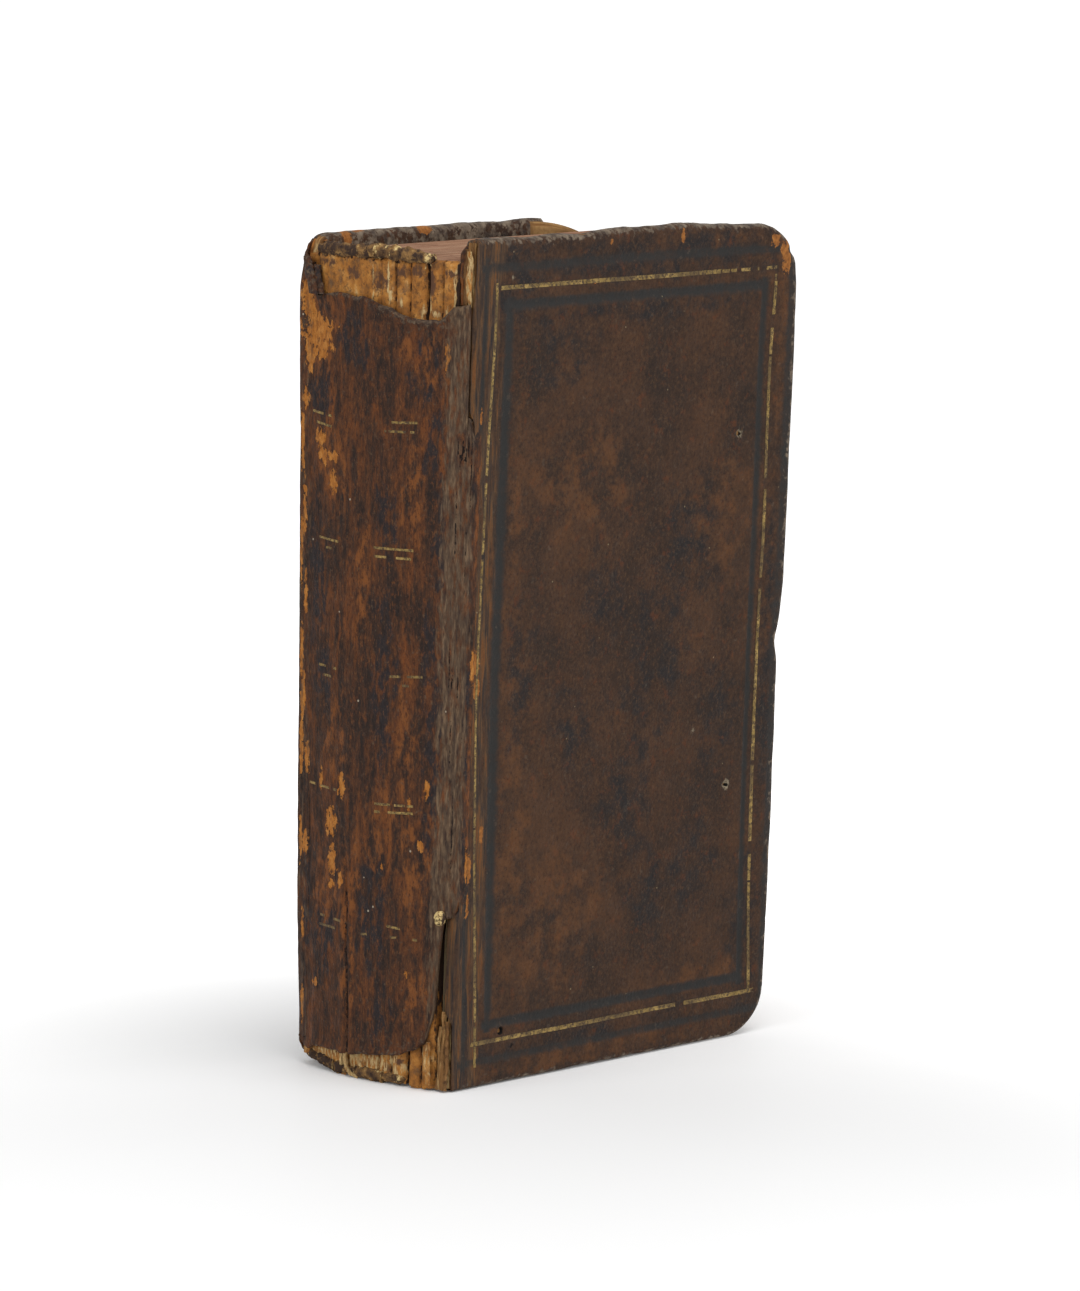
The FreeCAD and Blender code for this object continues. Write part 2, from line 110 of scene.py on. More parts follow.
def ripple(points, size, shift=0.0, octaves=3):
    points = np.asarray(points, float)
    total = np.zeros(points.shape[:-1])
    strength, most = 1.0, 0.0
    for octave in range(octaves):
        spot = points / np.asarray(size, float) * 2**octave + shift + 7.31 * octave
        cell = np.floor(spot).astype(int)
        near = spot - cell
        near = near * near * (3 - 2 * near)
        value = 0.0
        for corner in np.ndindex(2, 2, 2):
            weight = np.prod(np.where(corner, near, 1 - near), axis=-1)
            i, j, k = ((cell[..., n] + corner[n]) % 32 for n in range(3))
            value = value + weight * LATTICE[i, j, k]
        total = total + strength * value
        most += strength
        strength *= 0.5
    return total / most


def soft_step(value, low, high):
    share = np.clip((np.asarray(value, float) - low) / (high - low), 0, 1)
    return share * share * (3 - 2 * share)


# %% [markdown]
# Most pieces of a book are sheets: leather, paper, gold leaf. A sheet is easiest to shape as a grid of
# points, with an outer and an inner side, and a rim wherever the grid has an edge. The helper below
# closes any such sheet into a solid skin. The same idea, with two grids that share their border, gives
# a board.

# %% Helpers that turn grids into closed meshes
def grid_faces(index):
    quads = [index[:-1, :-1], index[1:, :-1], index[1:, 1:], index[:-1, 1:]]
    return np.stack([q.reshape(-1) for q in quads], axis=1)


def thicken(outer, inner, faces):
    outer = np.asarray(outer, float).reshape(-1, 3)
    inner = np.asarray(inner, float).reshape(-1, 3)
    count = len(outer)
    edges = np.concatenate([faces[:, [k, (k + 1) % 4]] for k in range(4)])
    key = np.sort(edges, axis=1)
    _, first, times = np.unique(key[:, 0] * count + key[:, 1], return_index=True, return_counts=True)
    rim = edges[first[times == 1]]
    sides = np.stack([rim[:, 1], rim[:, 0], rim[:, 0] + count, rim[:, 1] + count], axis=1)
    return np.concatenate([outer, inner]), np.concatenate([faces, faces[:, ::-1] + count, sides])


def block_shell(a_steps, b_steps, c_steps, place):
    sizes = (len(a_steps), len(b_steps), len(c_steps))
    index = np.full(sizes, -1)
    mesh = np.stack(np.meshgrid(a_steps, b_steps, c_steps, indexing="ij"), axis=-1)
    skin = np.zeros(sizes, bool)
    for axis in range(3):
        for end in (0, -1):
            skin[tuple(end if k == axis else slice(None) for k in range(3))] = True
    index[skin] = np.arange(skin.sum())
    points = place(*mesh[skin].T)
    faces, sides = [], []
    for axis in range(3):
        for end in (0, -1):
            side = grid_faces(index[tuple(end if k == axis else slice(None) for k in range(3))])
            faces.append(side)
            sides += [2 * axis + (end == -1)] * len(side)
    return points, np.concatenate(faces), np.array(sides)


def make_piece(
        name, points, faces, finishes, body, stands_for=(), marks=None, kinds=None, sharp=50
):
    points = leaned(points) * MM
    mesh = bpy.data.meshes.new(name)
    mesh.from_pydata(points.tolist(), [], faces.tolist())
    for finish in finishes if isinstance(finishes, (list, tuple)) else [finishes]:
        mesh.materials.append(finish)
    if kinds is not None:
        mesh.polygons.foreach_set("material_index", np.asarray(kinds, np.int32))
    for mark, values in (marks or {}).items():
        attribute = mesh.attributes.new(mark, "FLOAT", "POINT")
        attribute.data.foreach_set("value", np.asarray(values, np.float32))
    work = bmesh.new()
    work.from_mesh(mesh)
    bmesh.ops.delete(work, geom=[v for v in work.verts if not v.link_faces], context="VERTS")
    bmesh.ops.recalc_face_normals(work, faces=work.faces)
    work.to_mesh(mesh)
    work.free()
    mesh.polygons.foreach_set("use_smooth", [True] * len(mesh.polygons))
    mesh.set_sharp_from_angle(angle=math.radians(sharp))
    piece = bpy.data.objects.new(name, mesh)
    bpy.context.collection.objects.link(piece)
    if body:
        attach(piece, body)
    if stands_for:
        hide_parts(*stands_for)
    print(name, "-", len(mesh.polygons), "faces")
    return piece


# %% [markdown]
# Finishes are made of nodes. Each pattern is measured in millimetres and read from the object's own
# coordinates, so it stays on the piece from every side. Where the photograph shows a patch in a certain
# place, the mesh carries a soft mark there, and noise in the finish breaks up the mark's edge, as
# flaking leather does.

# %% Helpers for node finishes
def tone(red, green, blue):
    linear = [
        c / 12.92 if c <= 0.04045 else ((c + 0.055) / 1.055) ** 2.4
        for c in (red / 255, green / 255, blue / 255)
    ]
    return (*linear, 1.0)


class Finish:
    def __init__(self, name):
        self.material = bpy.data.materials.new(name)
        self.material.use_nodes = True
        self.tree = self.material.node_tree
        self.shader = self.tree.nodes["Principled BSDF"]
        self.place = self.add("ShaderNodeTexCoord").outputs["Object"]

    def add(self, kind, inputs=None, **settings):
        node = self.tree.nodes.new(kind)
        for key, value in settings.items():
            setattr(node, key, value)
        for key, value in (inputs or {}).items():
            if isinstance(value, bpy.types.NodeSocket):
                self.tree.links.new(value, node.inputs[key])
            else:
                node.inputs[key].default_value = value
        return node

    def spot(self, size, shift):
        size = (size, size, size) if isinstance(size, (int, float)) else size
        scale = [1 / (s * MM) for s in size]
        moved = self.add(
            "ShaderNodeMapping", {"Vector": self.place, "Location": (shift, shift, shift), "Scale": scale}
        )
        return moved.outputs[0]

    def noise(self, size, shift=0.0, detail=4.0, rough=0.55, warp=0.0):
        inputs = {"Vector": self.spot(size, shift), "Scale": 1.0, "Detail": detail, "Roughness": rough}
        inputs["Distortion"] = warp
        return self.add("ShaderNodeTexNoise", inputs).outputs["Fac"]

    def cells(self, size, shift=0.0, feature="F1"):
        return self.add(
            "ShaderNodeTexVoronoi", {"Vector": self.spot(size, shift), "Scale": 1.0}, feature=feature
        ).outputs["Distance"]

    def mark(self, name):
        return self.add("ShaderNodeAttribute", attribute_name=name).outputs["Fac"]

    def between(self, value, low, high, to_low=0.0, to_high=1.0):
        inputs = {"Value": value, "From Min": low, "From Max": high, "To Min": to_low, "To Max": to_high}
        return self.add("ShaderNodeMapRange", inputs, interpolation_type="SMOOTHSTEP").outputs[0]

    def sum(self, one, other, operation="ADD"):
        node = self.add("ShaderNodeMath", operation=operation)
        for socket, value in zip(node.inputs, (one, other)):
            if isinstance(value, bpy.types.NodeSocket):
                self.tree.links.new(value, socket)
            else:
                socket.default_value = value
        return node.outputs[0]

    def mix(self, share, one, other, how="MIX"):
        node = self.add("ShaderNodeMix", data_type="RGBA", blend_type=how)
        for socket, value in zip((node.inputs[0], node.inputs[6], node.inputs[7]), (share, one, other)):
            if isinstance(value, bpy.types.NodeSocket):
                self.tree.links.new(value, socket)
            else:
                socket.default_value = value
        return node.outputs[2]

    def ramp(self, value, stops):
        node = self.add("ShaderNodeValToRGB", {"Fac": value})
        band = node.color_ramp
        while len(band.elements) < len(stops):
            band.elements.new(0.5)
        for element, (position, colour) in zip(band.elements, stops):
            element.position = position
            element.color = colour
        return node.outputs["Color"]

    def patch(self, mark, size, reach=0.35, low=0.45, high=0.6, shift=0.0):
        """The mark, with its edge broken up by noise."""
        ragged = self.sum(
            self.between(self.noise(size, shift, 5.0, 0.62), 0.3, 0.7, -reach, reach), self.mark(mark)
        )
        return self.between(ragged, low, high)

    def relief(self, height, depth, before=None):
        inputs = {"Height": height, "Strength": 1.0, "Distance": depth * MM}
        if before is not None:
            inputs["Normal"] = before
        return self.add("ShaderNodeBump", inputs).outputs[0]

    def finish(self, colour, roughness, normal=None, **fixed):
        self.tree.links.new(colour, self.shader.inputs["Base Color"])
        if isinstance(roughness, bpy.types.NodeSocket):
            self.tree.links.new(roughness, self.shader.inputs["Roughness"])
        else:
            self.shader.inputs["Roughness"].default_value = roughness
        if normal is not None:
            self.tree.links.new(normal, self.shader.inputs["Normal"])
        for key, value in fixed.items():
            self.shader.inputs[key.replace("_", " ")].default_value = value
        return self.material


# %% [markdown]
# The covers are calf, dyed brown and darkened by handling. Real calf has a fine pebbled grain, soft
# clouds of darker colour, black stains and warmer places where the surface has rubbed thin. Each of
# those is one layer here: clouds of noise, a mark for the stains, one for the rubbed places and one for
# the dark tooled lines.

# %% Finish of the cover leather
def cover_leather():
    f = Finish("cover_calf")
    clouds = f.noise((13, 13, 13), 3.1, 6.0, 0.62)
    colour = f.ramp(clouds, [(0.36, tone(52, 41, 35)), (0.5, tone(63, 46, 36)), (0.66, tone(74, 52, 38))])
    colour = f.mix(f.patch("warm", 4.0, 0.7, 0.35, 1.9, 1.3), colour, tone(92, 61, 39))
    colour = f.mix(f.patch("stain", 4.5, 0.7, 0.3, 1.7, 9.1), colour, tone(42, 39, 39))
    fine = f.noise(0.8, 5.7, 6.0, 0.78)
    colour = f.mix(f.between(fine, 0.5, 0.68, 0.0, 0.5), colour, tone(96, 70, 48))
    colour = f.mix(f.between(fine, 0.5, 0.34, 0.0, 0.6), colour, tone(36, 30, 28))
    pores = f.between(f.noise(0.55, 17.0, 2.0, 0.5), 0.34, 0.26, 0.0, 0.6)
    colour = f.mix(pores, colour, tone(32, 27, 25))
    red = f.noise(2.2, 11.3, 5.0, 0.7)
    colour = f.mix(f.between(red, 0.56, 0.7, 0.0, 0.4), colour, tone(100, 56, 32))
    lines = f.noise((0.8, 0.8, 9), 21.0, 6.0, 0.7, 0.6)
    stops = [
        (0.38, tone(46, 41, 40)), (0.47, tone(66, 52, 43)), (0.54, tone(88, 66, 47)),
        (0.62, tone(108, 70, 40)), (0.7, tone(84, 54, 38))
    ]
    colour = f.mix(f.patch("drawn", (1.4, 1.4, 9), 0.5, 0.35, 1.1, 14.0), colour, f.ramp(lines, stops))
    colour = f.mix(f.patch("tool", 2.0, 0.15, 0.12, 1.0, 4.4), colour, tone(48, 47, 46))
    rubbed = f.patch("rub", 1.3, 0.6, 0.45, 1.0, 2.2)
    colour = f.mix(
        rubbed, colour, f.ramp(f.noise(1.5, 9.9), [(0.35, tone(66, 56, 50)), (0.65, tone(124, 110, 94))])
    )
    scuffed = f.patch("scuff", 1.1, 0.35, 0.45, 0.62, 6.2)
    bare = f.ramp(f.noise(0.9, 8.0), [(0.3, tone(112, 68, 36)), (0.7, tone(164, 108, 54))])
    colour = f.mix(scuffed, colour, bare)
    colour = f.mix(f.patch("pale", 0.5, 0.3, 0.4, 1.0, 3.2), colour, tone(138, 126, 106))
    # Painted shade: the inside of each worm hole is painted nearly black.
    colour = f.mix(f.patch("hole_shade", 0.4, 0.1, 0.4, 0.7, 7.2), colour, tone(18, 15, 14))
    specks = f.between(f.cells(5.5, 3.3), 0.034, 0.02, 0.0, 0.6)
    colour = f.mix(specks, colour, tone(150, 134, 104))
    grain = f.relief(f.cells(0.55, 1.0, "SMOOTH_F1"), 0.10)
    grain = f.relief(f.noise(0.22, 2.0, 3.0, 0.6), 0.05, grain)
    grain = f.relief(f.noise(2.6, 4.0, 3.0), 0.14, grain)
    gloss = f.between(f.noise(3.5, 7.7, 4.0), 0.3, 0.7, 0.44, 0.62)
    return f.finish(colour, gloss, grain, Specular_IOR_Level=0.07)


# %% [markdown]
# The spine was handled most, so its surface is streaked from head to tail: black where the polish is
# left, red-brown where it is worn, and ochre where the grain layer has flaked off. Noise that is
# squeezed across the spine and drawn out along it makes the streaks.

# %% Finish of the spine leather
def spine_leather_finish():
    f = Finish("spine_calf")
    streaks = f.noise((1.1, 1.1, 5.5), 2.4, 6.0, 0.7, 0.7)
    wide = f.noise((3.8, 3.8, 13), 6.4, 5.0, 0.62, 0.8)
    mixed = f.sum(f.sum(streaks, 0.38, "MULTIPLY"), f.sum(wide, 0.62, "MULTIPLY"))
    stops = [
        (0.40, tone(42, 34, 31)), (0.47, tone(60, 42, 33)), (0.54, tone(82, 51, 33)),
        (0.64, tone(107, 62, 33))
    ]
    colour = f.ramp(mixed, stops)
    colour = f.mix(f.patch("warm", (1.6, 1.6, 3.4), 0.75, 0.55, 1.6, 1.3), colour, tone(116, 70, 37))
    colour = f.mix(f.patch("stain", (1.5, 1.5, 3.6), 0.75, 0.45, 1.3, 9.1), colour, tone(44, 39, 40))
    fine = f.noise((0.55, 0.55, 1.3), 5.2, 7.0, 0.8)
    colour = f.mix(f.between(fine, 0.5, 0.38, 0.0, 0.7), colour, tone(34, 27, 25))
    colour = f.mix(f.between(fine, 0.53, 0.68, 0.0, 0.55), colour, tone(126, 80, 42))
    spots = f.noise((1.5, 1.5, 2.0), 25.0, 5.0, 0.7)
    colour = f.mix(f.between(spots, 0.56, 0.72, 0.0, 0.4), colour, tone(128, 74, 36))
    flaked = f.patch("loss", (0.9, 0.9, 1.3), 0.48, 0.5, 0.6, 6.2)
    stops = [(0.3, tone(108, 64, 30)), (0.48, tone(156, 98, 42)), (0.7, tone(182, 128, 66))]
    colour = f.mix(flaked, colour, f.ramp(f.noise((0.8, 0.8, 1.4), 8.0, 6.0, 0.75), stops))
    torn = f.ramp(
        f.noise(0.7, 9.9, 5.0, 0.7),
        [(0.35, tone(48, 38, 34)), (0.5, tone(76, 62, 52)), (0.68, tone(112, 94, 74))]
    )
    colour = f.mix(f.patch("rub", (0.9, 0.9, 0.9), 0.7, 0.4, 1.0, 2.2), colour, torn)
    dust = f.ramp(
        f.noise((0.6, 0.6, 3.5), 12.0, 5.0, 0.7),
        [(0.36, tone(58, 46, 40)), (0.5, tone(84, 68, 54)), (0.66, tone(118, 96, 74))]
    )
    colour = f.mix(f.patch("dusty", (0.7, 0.7, 3.0), 0.5, 0.3, 1.2, 5.1), colour, dust)
    colour = f.mix(f.patch("crack", (0.4, 0.4, 0.9), 0.4, 0.45, 0.62, 7.1), colour, tone(24, 18, 16))
    specks = f.between(f.cells(6.5, 3.3), 0.035, 0.024, 0.0, 0.8)
    colour = f.mix(specks, colour, tone(170, 158, 138))
    grain = f.relief(f.noise((0.35, 0.35, 1.4), 2.0, 4.0, 0.65), 0.12)
    grain = f.relief(f.cells(0.5, 1.0, "SMOOTH_F1"), 0.06, grain)
    grain = f.relief(flaked, -0.08, grain)
    gloss = f.between(f.noise(2.5, 7.7, 4.0), 0.3, 0.7, 0.42, 0.64)
    return f.finish(colour, gloss, grain, Specular_IOR_Level=0.08)


# %% [markdown]
# Gold leaf survives only in the bottom of the tooled lines. It is a thin metal with a dull, brownish
# lustre, and the leather shows wherever the leaf has worn through, so the finish mixes metal and
# leather by fine noise.

# %% Finish of the gold leaf
def gold_leaf():
    f = Finish("gilt")
    worn = f.sum(
        f.between(f.noise((0.6, 0.6, 0.6), 3.7, 5.0, 0.75), 0.40, 0.58),
        f.between(f.noise(7, 30.0, 2.0), 0.34, 0.5, 0.35, 1.0), "MULTIPLY"
    )
    gold = f.ramp(f.noise(2.4, 1.9, 4.0), [(0.3, tone(124, 102, 56)), (0.7, tone(176, 148, 90))])
    colour = f.mix(worn, tone(70, 54, 38), gold)
    f.tree.links.new(f.between(worn, 0.0, 1.0, 0.0, 0.55), f.shader.inputs["Metallic"])
    grain = f.relief(f.noise(0.3, 2.0, 4.0, 0.7), 0.06)
    return f.finish(colour, 0.5, grain, Specular_IOR_Level=0.2)


# %% [markdown]
# Paper shows in three ways: as the cut edges of the leaves, as the folds of the gatherings at the torn
# spine, and as the pasted sheet inside each cover. Cut edges are fine stripes that run with the leaves,
# dusty and faintly reddish. The folds are tan where old glue soaked in, and cream where the paper
# broke. On the folds the finish also paints light and shade: highlight along the ridges, shade in the
# valleys and in dark vertical split lines.

# %% Finishes of the paper
def leaf_edges():
    f = Finish("leaf_edges")
    leaves = f.noise((60, 0.22, 60), 1.1, 3.0, 0.7)
    colour = f.ramp(
        leaves, [(0.3, tone(104, 70, 54)), (0.5, tone(150, 112, 88)), (0.7, tone(188, 158, 128))]
    )
    dust = f.noise(7, 4.0, 5.0, 0.65)
    colour = f.mix(f.between(dust, 0.45, 0.7, 0.0, 0.6), colour, tone(116, 80, 62))
    spots = f.between(f.noise(1.6, 8.0, 3.0), 0.62, 0.7, 0.0, 0.5)
    colour = f.mix(spots, colour, tone(112, 58, 44))
    grain = f.relief(leaves, 0.25)
    return f.finish(colour, 0.86, grain, Specular_IOR_Level=0.1)


def fold_paper():
    f = Finish("fold_paper")
    glue = f.noise((3.2, 3.2, 3.2), 2.0, 6.0, 0.65)
    colour = f.ramp(
        glue,
        [
            (0.34, tone(104, 72, 44)), (0.47, tone(150, 98, 46)), (0.6, tone(178, 124, 62)),
            (0.74, tone(196, 162, 110))
        ]
    )
    mottled = f.noise(0.9, 6.0, 6.0, 0.75)
    colour = f.mix(f.between(mottled, 0.5, 0.36, 0.0, 0.8), colour, tone(86, 60, 40))
    grey = f.noise((1.6, 1.6, 2.6), 15.0, 5.0, 0.7)
    colour = f.mix(f.between(grey, 0.52, 0.66, 0.0, 0.55), colour, tone(108, 84, 62))
    cream = f.ramp(
        f.noise((0.5, 0.5, 1.6), 9.0, 4.0, 0.7), [(0.35, tone(150, 118, 74)), (0.6, tone(196, 170, 122))]
    )
    # The pale mark is cream where the paper broke, and painted highlight along the fold ridges.
    colour = f.mix(f.patch("pale", (0.5, 0.5, 1.6), 0.6, 0.5, 1.1, 3.0), colour, cream)
    # The shade mark is painted shade: in the valleys between gatherings, on faces behind the boards and
    # under the head band.
    colour = f.mix(f.patch("shade", (0.6, 0.6, 1.5), 0.3, 0.4, 0.75, 5.0), colour, tone(48, 34, 26))
    # Dark vertical split lines are painted shade in the crevices of the folds.
    split_shade = f.between(f.noise((0.6, 0.6, 2.2), 33.0, 6.0, 0.75, 0.5), 0.37, 0.31, 0.0, 0.85)
    colour = f.mix(split_shade, colour, tone(52, 36, 26))
    colour = f.mix(f.patch("umber", (1.0, 1.0, 1.4), 0.6, 0.35, 1.1, 12.0), colour, tone(88, 62, 46))
    fibres = f.noise((0.25, 0.25, 2.4), 7.0, 4.0, 0.6)
    grain = f.relief(fibres, 0.12)
    grain = f.relief(mottled, 0.12, grain)
    return f.finish(colour, 0.8, grain, Specular_IOR_Level=0.12)


def pasted_paper():
    f = Finish("endpaper")
    clouds = f.noise(24, 1.0, 5.0, 0.6)
    colour = f.ramp(
        clouds, [(0.3, tone(176, 150, 112)), (0.6, tone(204, 182, 144)), (0.8, tone(214, 196, 162))]
    )
    foxing = f.between(f.noise(3.2, 5.0, 4.0, 0.6), 0.64, 0.74, 0.0, 0.55)
    colour = f.mix(foxing, colour, tone(142, 100, 62))
    colour = f.mix(f.patch("edge", 4.0, 0.4, 0.3, 1.2, 2.0), colour, tone(132, 98, 64))
    laid = f.noise((0.5, 0.5, 30), 3.0, 2.0, 0.5)
    grain = f.relief(laid, 0.05)
    grain = f.relief(f.noise(0.8, 6.0, 4.0, 0.7), 0.05, grain)
    return f.finish(colour, 0.88, grain, Specular_IOR_Level=0.1)


# %% [markdown]
# Pasteboard is many sheets of waste paper, pasted and beaten flat. Where the leather is gone its edge
# shows as brown and yellow layers. The cord and thread are hemp and linen, cream where they are clean
# and dark with glue.

# %% Finishes of pasteboard and cord
def paste_board():
    f = Finish("pasteboard")
    layers = f.noise((40, 0.35, 40), 1.0, 4.0, 0.7)
    colour = f.ramp(
        layers, [(0.34, tone(70, 48, 32)), (0.5, tone(122, 86, 50)), (0.66, tone(166, 132, 86))]
    )
    stained = f.noise(4.0, 3.0, 5.0, 0.65)
    colour = f.mix(f.between(stained, 0.42, 0.62, 0.0, 0.7), colour, tone(118, 86, 54))
    colour = f.mix(f.patch("shade", 1.2, 0.4, 0.4, 0.9, 5.0), colour, tone(62, 44, 32))
    colour = f.mix(f.patch("pale", (0.5, 0.5, 3.0), 0.5, 0.5, 1.3, 3.0), colour, tone(190, 160, 112))
    grain = f.relief(layers, 0.2)
    grain = f.relief(f.noise(0.6, 6.0, 4.0, 0.7), 0.1, grain)
    return f.finish(colour, 0.88, grain, Specular_IOR_Level=0.1)


def hemp_cord():
    f = Finish("cord")
    dirty = f.noise((1.6, 1.6, 1.6), 2.0, 5.0, 0.65)
    stops = [
        (0.36, tone(54, 41, 35)), (0.48, tone(90, 68, 47)), (0.58, tone(128, 96, 58)),
        (0.74, tone(178, 146, 94))
    ]
    colour = f.ramp(dirty, stops)
    colour = f.mix(f.patch("pale", 0.5, 0.6, 0.5, 1.3, 3.0), colour, tone(206, 180, 124))
    colour = f.mix(f.patch("shade", 0.8, 0.4, 0.4, 0.8, 5.0), colour, tone(60, 46, 38))
    fibres = f.noise(0.25, 7.0, 4.0, 0.6)
    grain = f.relief(fibres, 0.12)
    return f.finish(colour, 0.82, grain, Specular_IOR_Level=0.12)


calf = cover_leather()
spine_calf = spine_leather_finish()
gilt = gold_leaf()
edges = leaf_edges()
folds = fold_paper()
paper = pasted_paper()
board_finish = paste_board()
hemp = hemp_cord()
print("finishes", [m.name for m in (calf, spine_calf, gilt, edges, folds, paper, board_finish, hemp)])

# %% [markdown]
# Several pieces need soft marks in chosen places: stains, losses, rubbed edges. Each is a worn spot
# with a centre, a half width and a half height in millimetres, and the mark falls away from 1 in its
# middle to 0 outside.

# %% Helper for worn spots
def blots(across, up, spots, rag=0.0, shift=0.0):
    mark = np.zeros(np.shape(across))
    spot_points = np.stack([across, up, np.full(np.shape(across), shift)], axis=-1)
    uneven = rag * ripple(spot_points, (2.0, 3.0, 1.0), shift)
    for centre, height, half_width, half_height in spots:
        reach = np.hypot((across - centre) / half_width, (up - height) / half_height)
        mark = np.maximum(mark, np.clip(1.5 - reach + uneven, 0, 1))
    return mark


# %% [markdown]
# ## The covers
# Each cover is a pasteboard with calf pulled over it, turned in round three edges, and a sheet pasted
# inside. The outline is a rectangle with worn, rounded corners. A grid over the face is pressed into
# that outline, and close to the edge both faces sink towards the middle of the thickness, which gives
# the rounded edge that leather has.

# %% Shape of a cover
TURN_IN = 13.0
GOLD = {"joint": 6.0, "fore": 4.0, "head": 7.3, "tail": 7.6}
GOLD_LINE, INNER_LINE, OUTER_LINE = 0.37, 3.4, -2.9
WORM_HOLES = [(12.9, 9.4), (73.8, 110.8), (73.5, 47.0)]


def steps(start, end, pitch, fine=0.0, reach=0.0):
    """Places from start to end, closer together within reach of both ends."""
    places = [start]
    while places[-1] < end:
        away = min(places[-1] - start, end - places[-1])
        places.append(places[-1] + (fine if away < reach and fine else pitch))
    return start + (np.array(places) - start) * (end - start) / (places[-1] - start)


def round_corners(s, z, width, height, radii):
    """Rounds a grid's corners; radii go joint tail, fore tail, fore head, joint head."""
    s, z = s.copy(), z.copy()
    for (right, top), (rs, rz) in zip(((0, 0), (1, 0), (1, 1), (0, 1)), radii):
        a = (s - (width - rs)) / rs if right else (rs - s) / rs
        b = (z - (height - rz)) / rz if top else (rz - z) / rz
        inside = (a > 0) & (b > 0)
        new_a = a * np.sqrt(np.clip(1 - b * b / 2, 0, 1))
        new_b = b * np.sqrt(np.clip(1 - a * a / 2, 0, 1))
        s = np.where(inside, (width - rs) + new_a * rs if right else rs - new_a * rs, s)
        z = np.where(inside, (height - rz) + new_b * rz if top else rz - new_b * rz, z)
    return s, z


def edge_distance(s, z, width, height, radii):
    """Distance to the rounded outline, counted inwards."""
    away = np.minimum.reduce([s, width - s, z, height - z])
    for (right, top), (rs, rz) in zip(((0, 0), (1, 0), (1, 1), (0, 1)), radii):
        a = (s - (width - rs)) / rs if right else (rs - s) / rs
        b = (z - (height - rz)) / rz if top else (rz - z) / rz
        inside = (a > 0) & (b > 0)
        away = np.where(inside, (1 - np.hypot(a, b)) * min(rs, rz), away)
    return np.clip(away, 0, None)


def cover_world(s, z, depth, side):
    return np.stack([JOINT + s, side * (HALF - depth), z], axis=-1)


def line_distance(s, z, inset):
    """Distance to the rectangle that lies inset mm inside the gold frame's place."""
    left, right = GOLD["joint"] + inset, WIDTH - GOLD["fore"] - inset
    low, high = GOLD["tail"] + inset, HEIGHT - GOLD["head"] - inset
    beside = np.minimum(abs(s - left), abs(s - right))
    above = np.minimum(abs(z - low), abs(z - high))
    beside = np.where((z > low - 1.5) & (z < high + 1.5), beside, 9.0)
    above = np.where((s > left - 1.5) & (s < right + 1.5), above, 9.0)
    return np.minimum(beside, above)


def cover_relief(s, z, side):
    """How far the worn outer face stands below its plane, in mm."""
    flat = np.stack([s, z, np.full(np.shape(s), 9.0 * side)], axis=-1)
    dip = 0.22 * (ripple(flat, (30, 40, 1), 3.0, 2) + 0.6)
    dip += 0.05 * (ripple(flat, (5, 5, 1), 8.0, 3) + 1)
    tooled = (GOLD_LINE, 0.5, 0.12), (INNER_LINE, 0.75, 0.16), (OUTER_LINE, 0.65, 0.12)
    for inset, width, depth in tooled:
        dip += depth * soft_step(line_distance(s, z, inset), width, width * 0.35)
    if side < 0:
        for at_s, at_z in WORM_HOLES:
            reach = np.hypot(s - at_s, z - at_z)
            dip += 0.6 * soft_step(reach, 0.8, 0.3) - 0.10 * np.exp(-(((reach - 1.0) / 0.3) ** 2))
    return dip


def worn_outline(s, z, side):
    """The front cover's bent shape: its edges bow out, its gold lines bow towards the back."""
    if side > 0:
        return s, z

    def curve(heights, amounts):
        return sum(np.interp(z + move, heights, amounts) for move in (-6, -2, 2, 6)) / 4

    rise = np.interp(
        s, [0, 7, 20, 33, 45, 55, 65, 75, 82, 87], [1.1, 1.1, 1.0, 1.4, 1.6, 1.5, 1.1, 0.7, 0.3, 0]
    )
    edge = np.interp(
        z, [0, 20, 40, 68, 72, 76, 83, 100, 127, 137, 142, 148],
        [0.1, 0.7, 1.1, 1.2, 1.1, 1.4, 2.3, 2.6, 3.0, 2.8, 2.1, 1.2]
    )
    joint_line = curve(
        [4, 18, 29, 40, 55, 66, 77, 92, 113, 124, 142],
        [0.1, -0.8, -1.4, -2.2, -2.6, -3.0, -2.9, -2.6, -2.1, -1.5, -0.8]
    )
    fore_line = curve(
        [8, 22, 40, 60, 80, 95, 110, 124, 140], [-0.2, -1.2, -1.9, -1.7, -1.2, -0.6, -0.7, -0.8, 0.4]
    )
    moved = s + edge * np.clip((s - 83.6) / 3.4, 0, 1)
    moved = moved + joint_line * np.interp(s, [0, 2, 6.4, 9.4, 14], [0, 0.3, 1, 0.33, 0])
    moved = moved + fore_line * np.interp(s, [72, 79.2, 82.6, 86, 87], [0, 0.4, 1, 0.2, 0])
    return moved, z + rise * np.clip((z - 142) / 6, 0, 1)


front_radii = ((1.5, 1.5), (10, 8), (8, 7), (1.5, 1.5))
print("cover", WIDTH, "by", HEIGHT, "turn-in", TURN_IN)

# %% [markdown]
# The leather of a cover is one skin: the outer face, the edges and the turned-in margins. Along the
# joint it is open, because there the leather goes on over the spine. At the head and the tail of the
# front joint a strip has torn off and the board shows.

# %% Leather of the covers
WRAP = 0.7
LOST_WIDE, LOST_HIGH = 30.0, 20.0


def left_edge(z, side):
    """Where the leather begins at the joint, in mm on the face; below 0 it goes round the board's edge."""
    rough = np.stack([np.zeros_like(z), z, np.full_like(z, 4.0)], axis=-1)
    start = np.full_like(z, 1.0)
    if side < 0:
        start = np.interp(
            z, [0, 12, 14, 30, 32, 117, 119, 136, 139, 148],
            [0.4, 0.1, -1.9, -1.8, 1, 1, -0.5, -0.6, -0.2, 0.3]
        )
    return start + 0.22 * ripple(rough, (1, 1.8, 1), 5.0, 4)


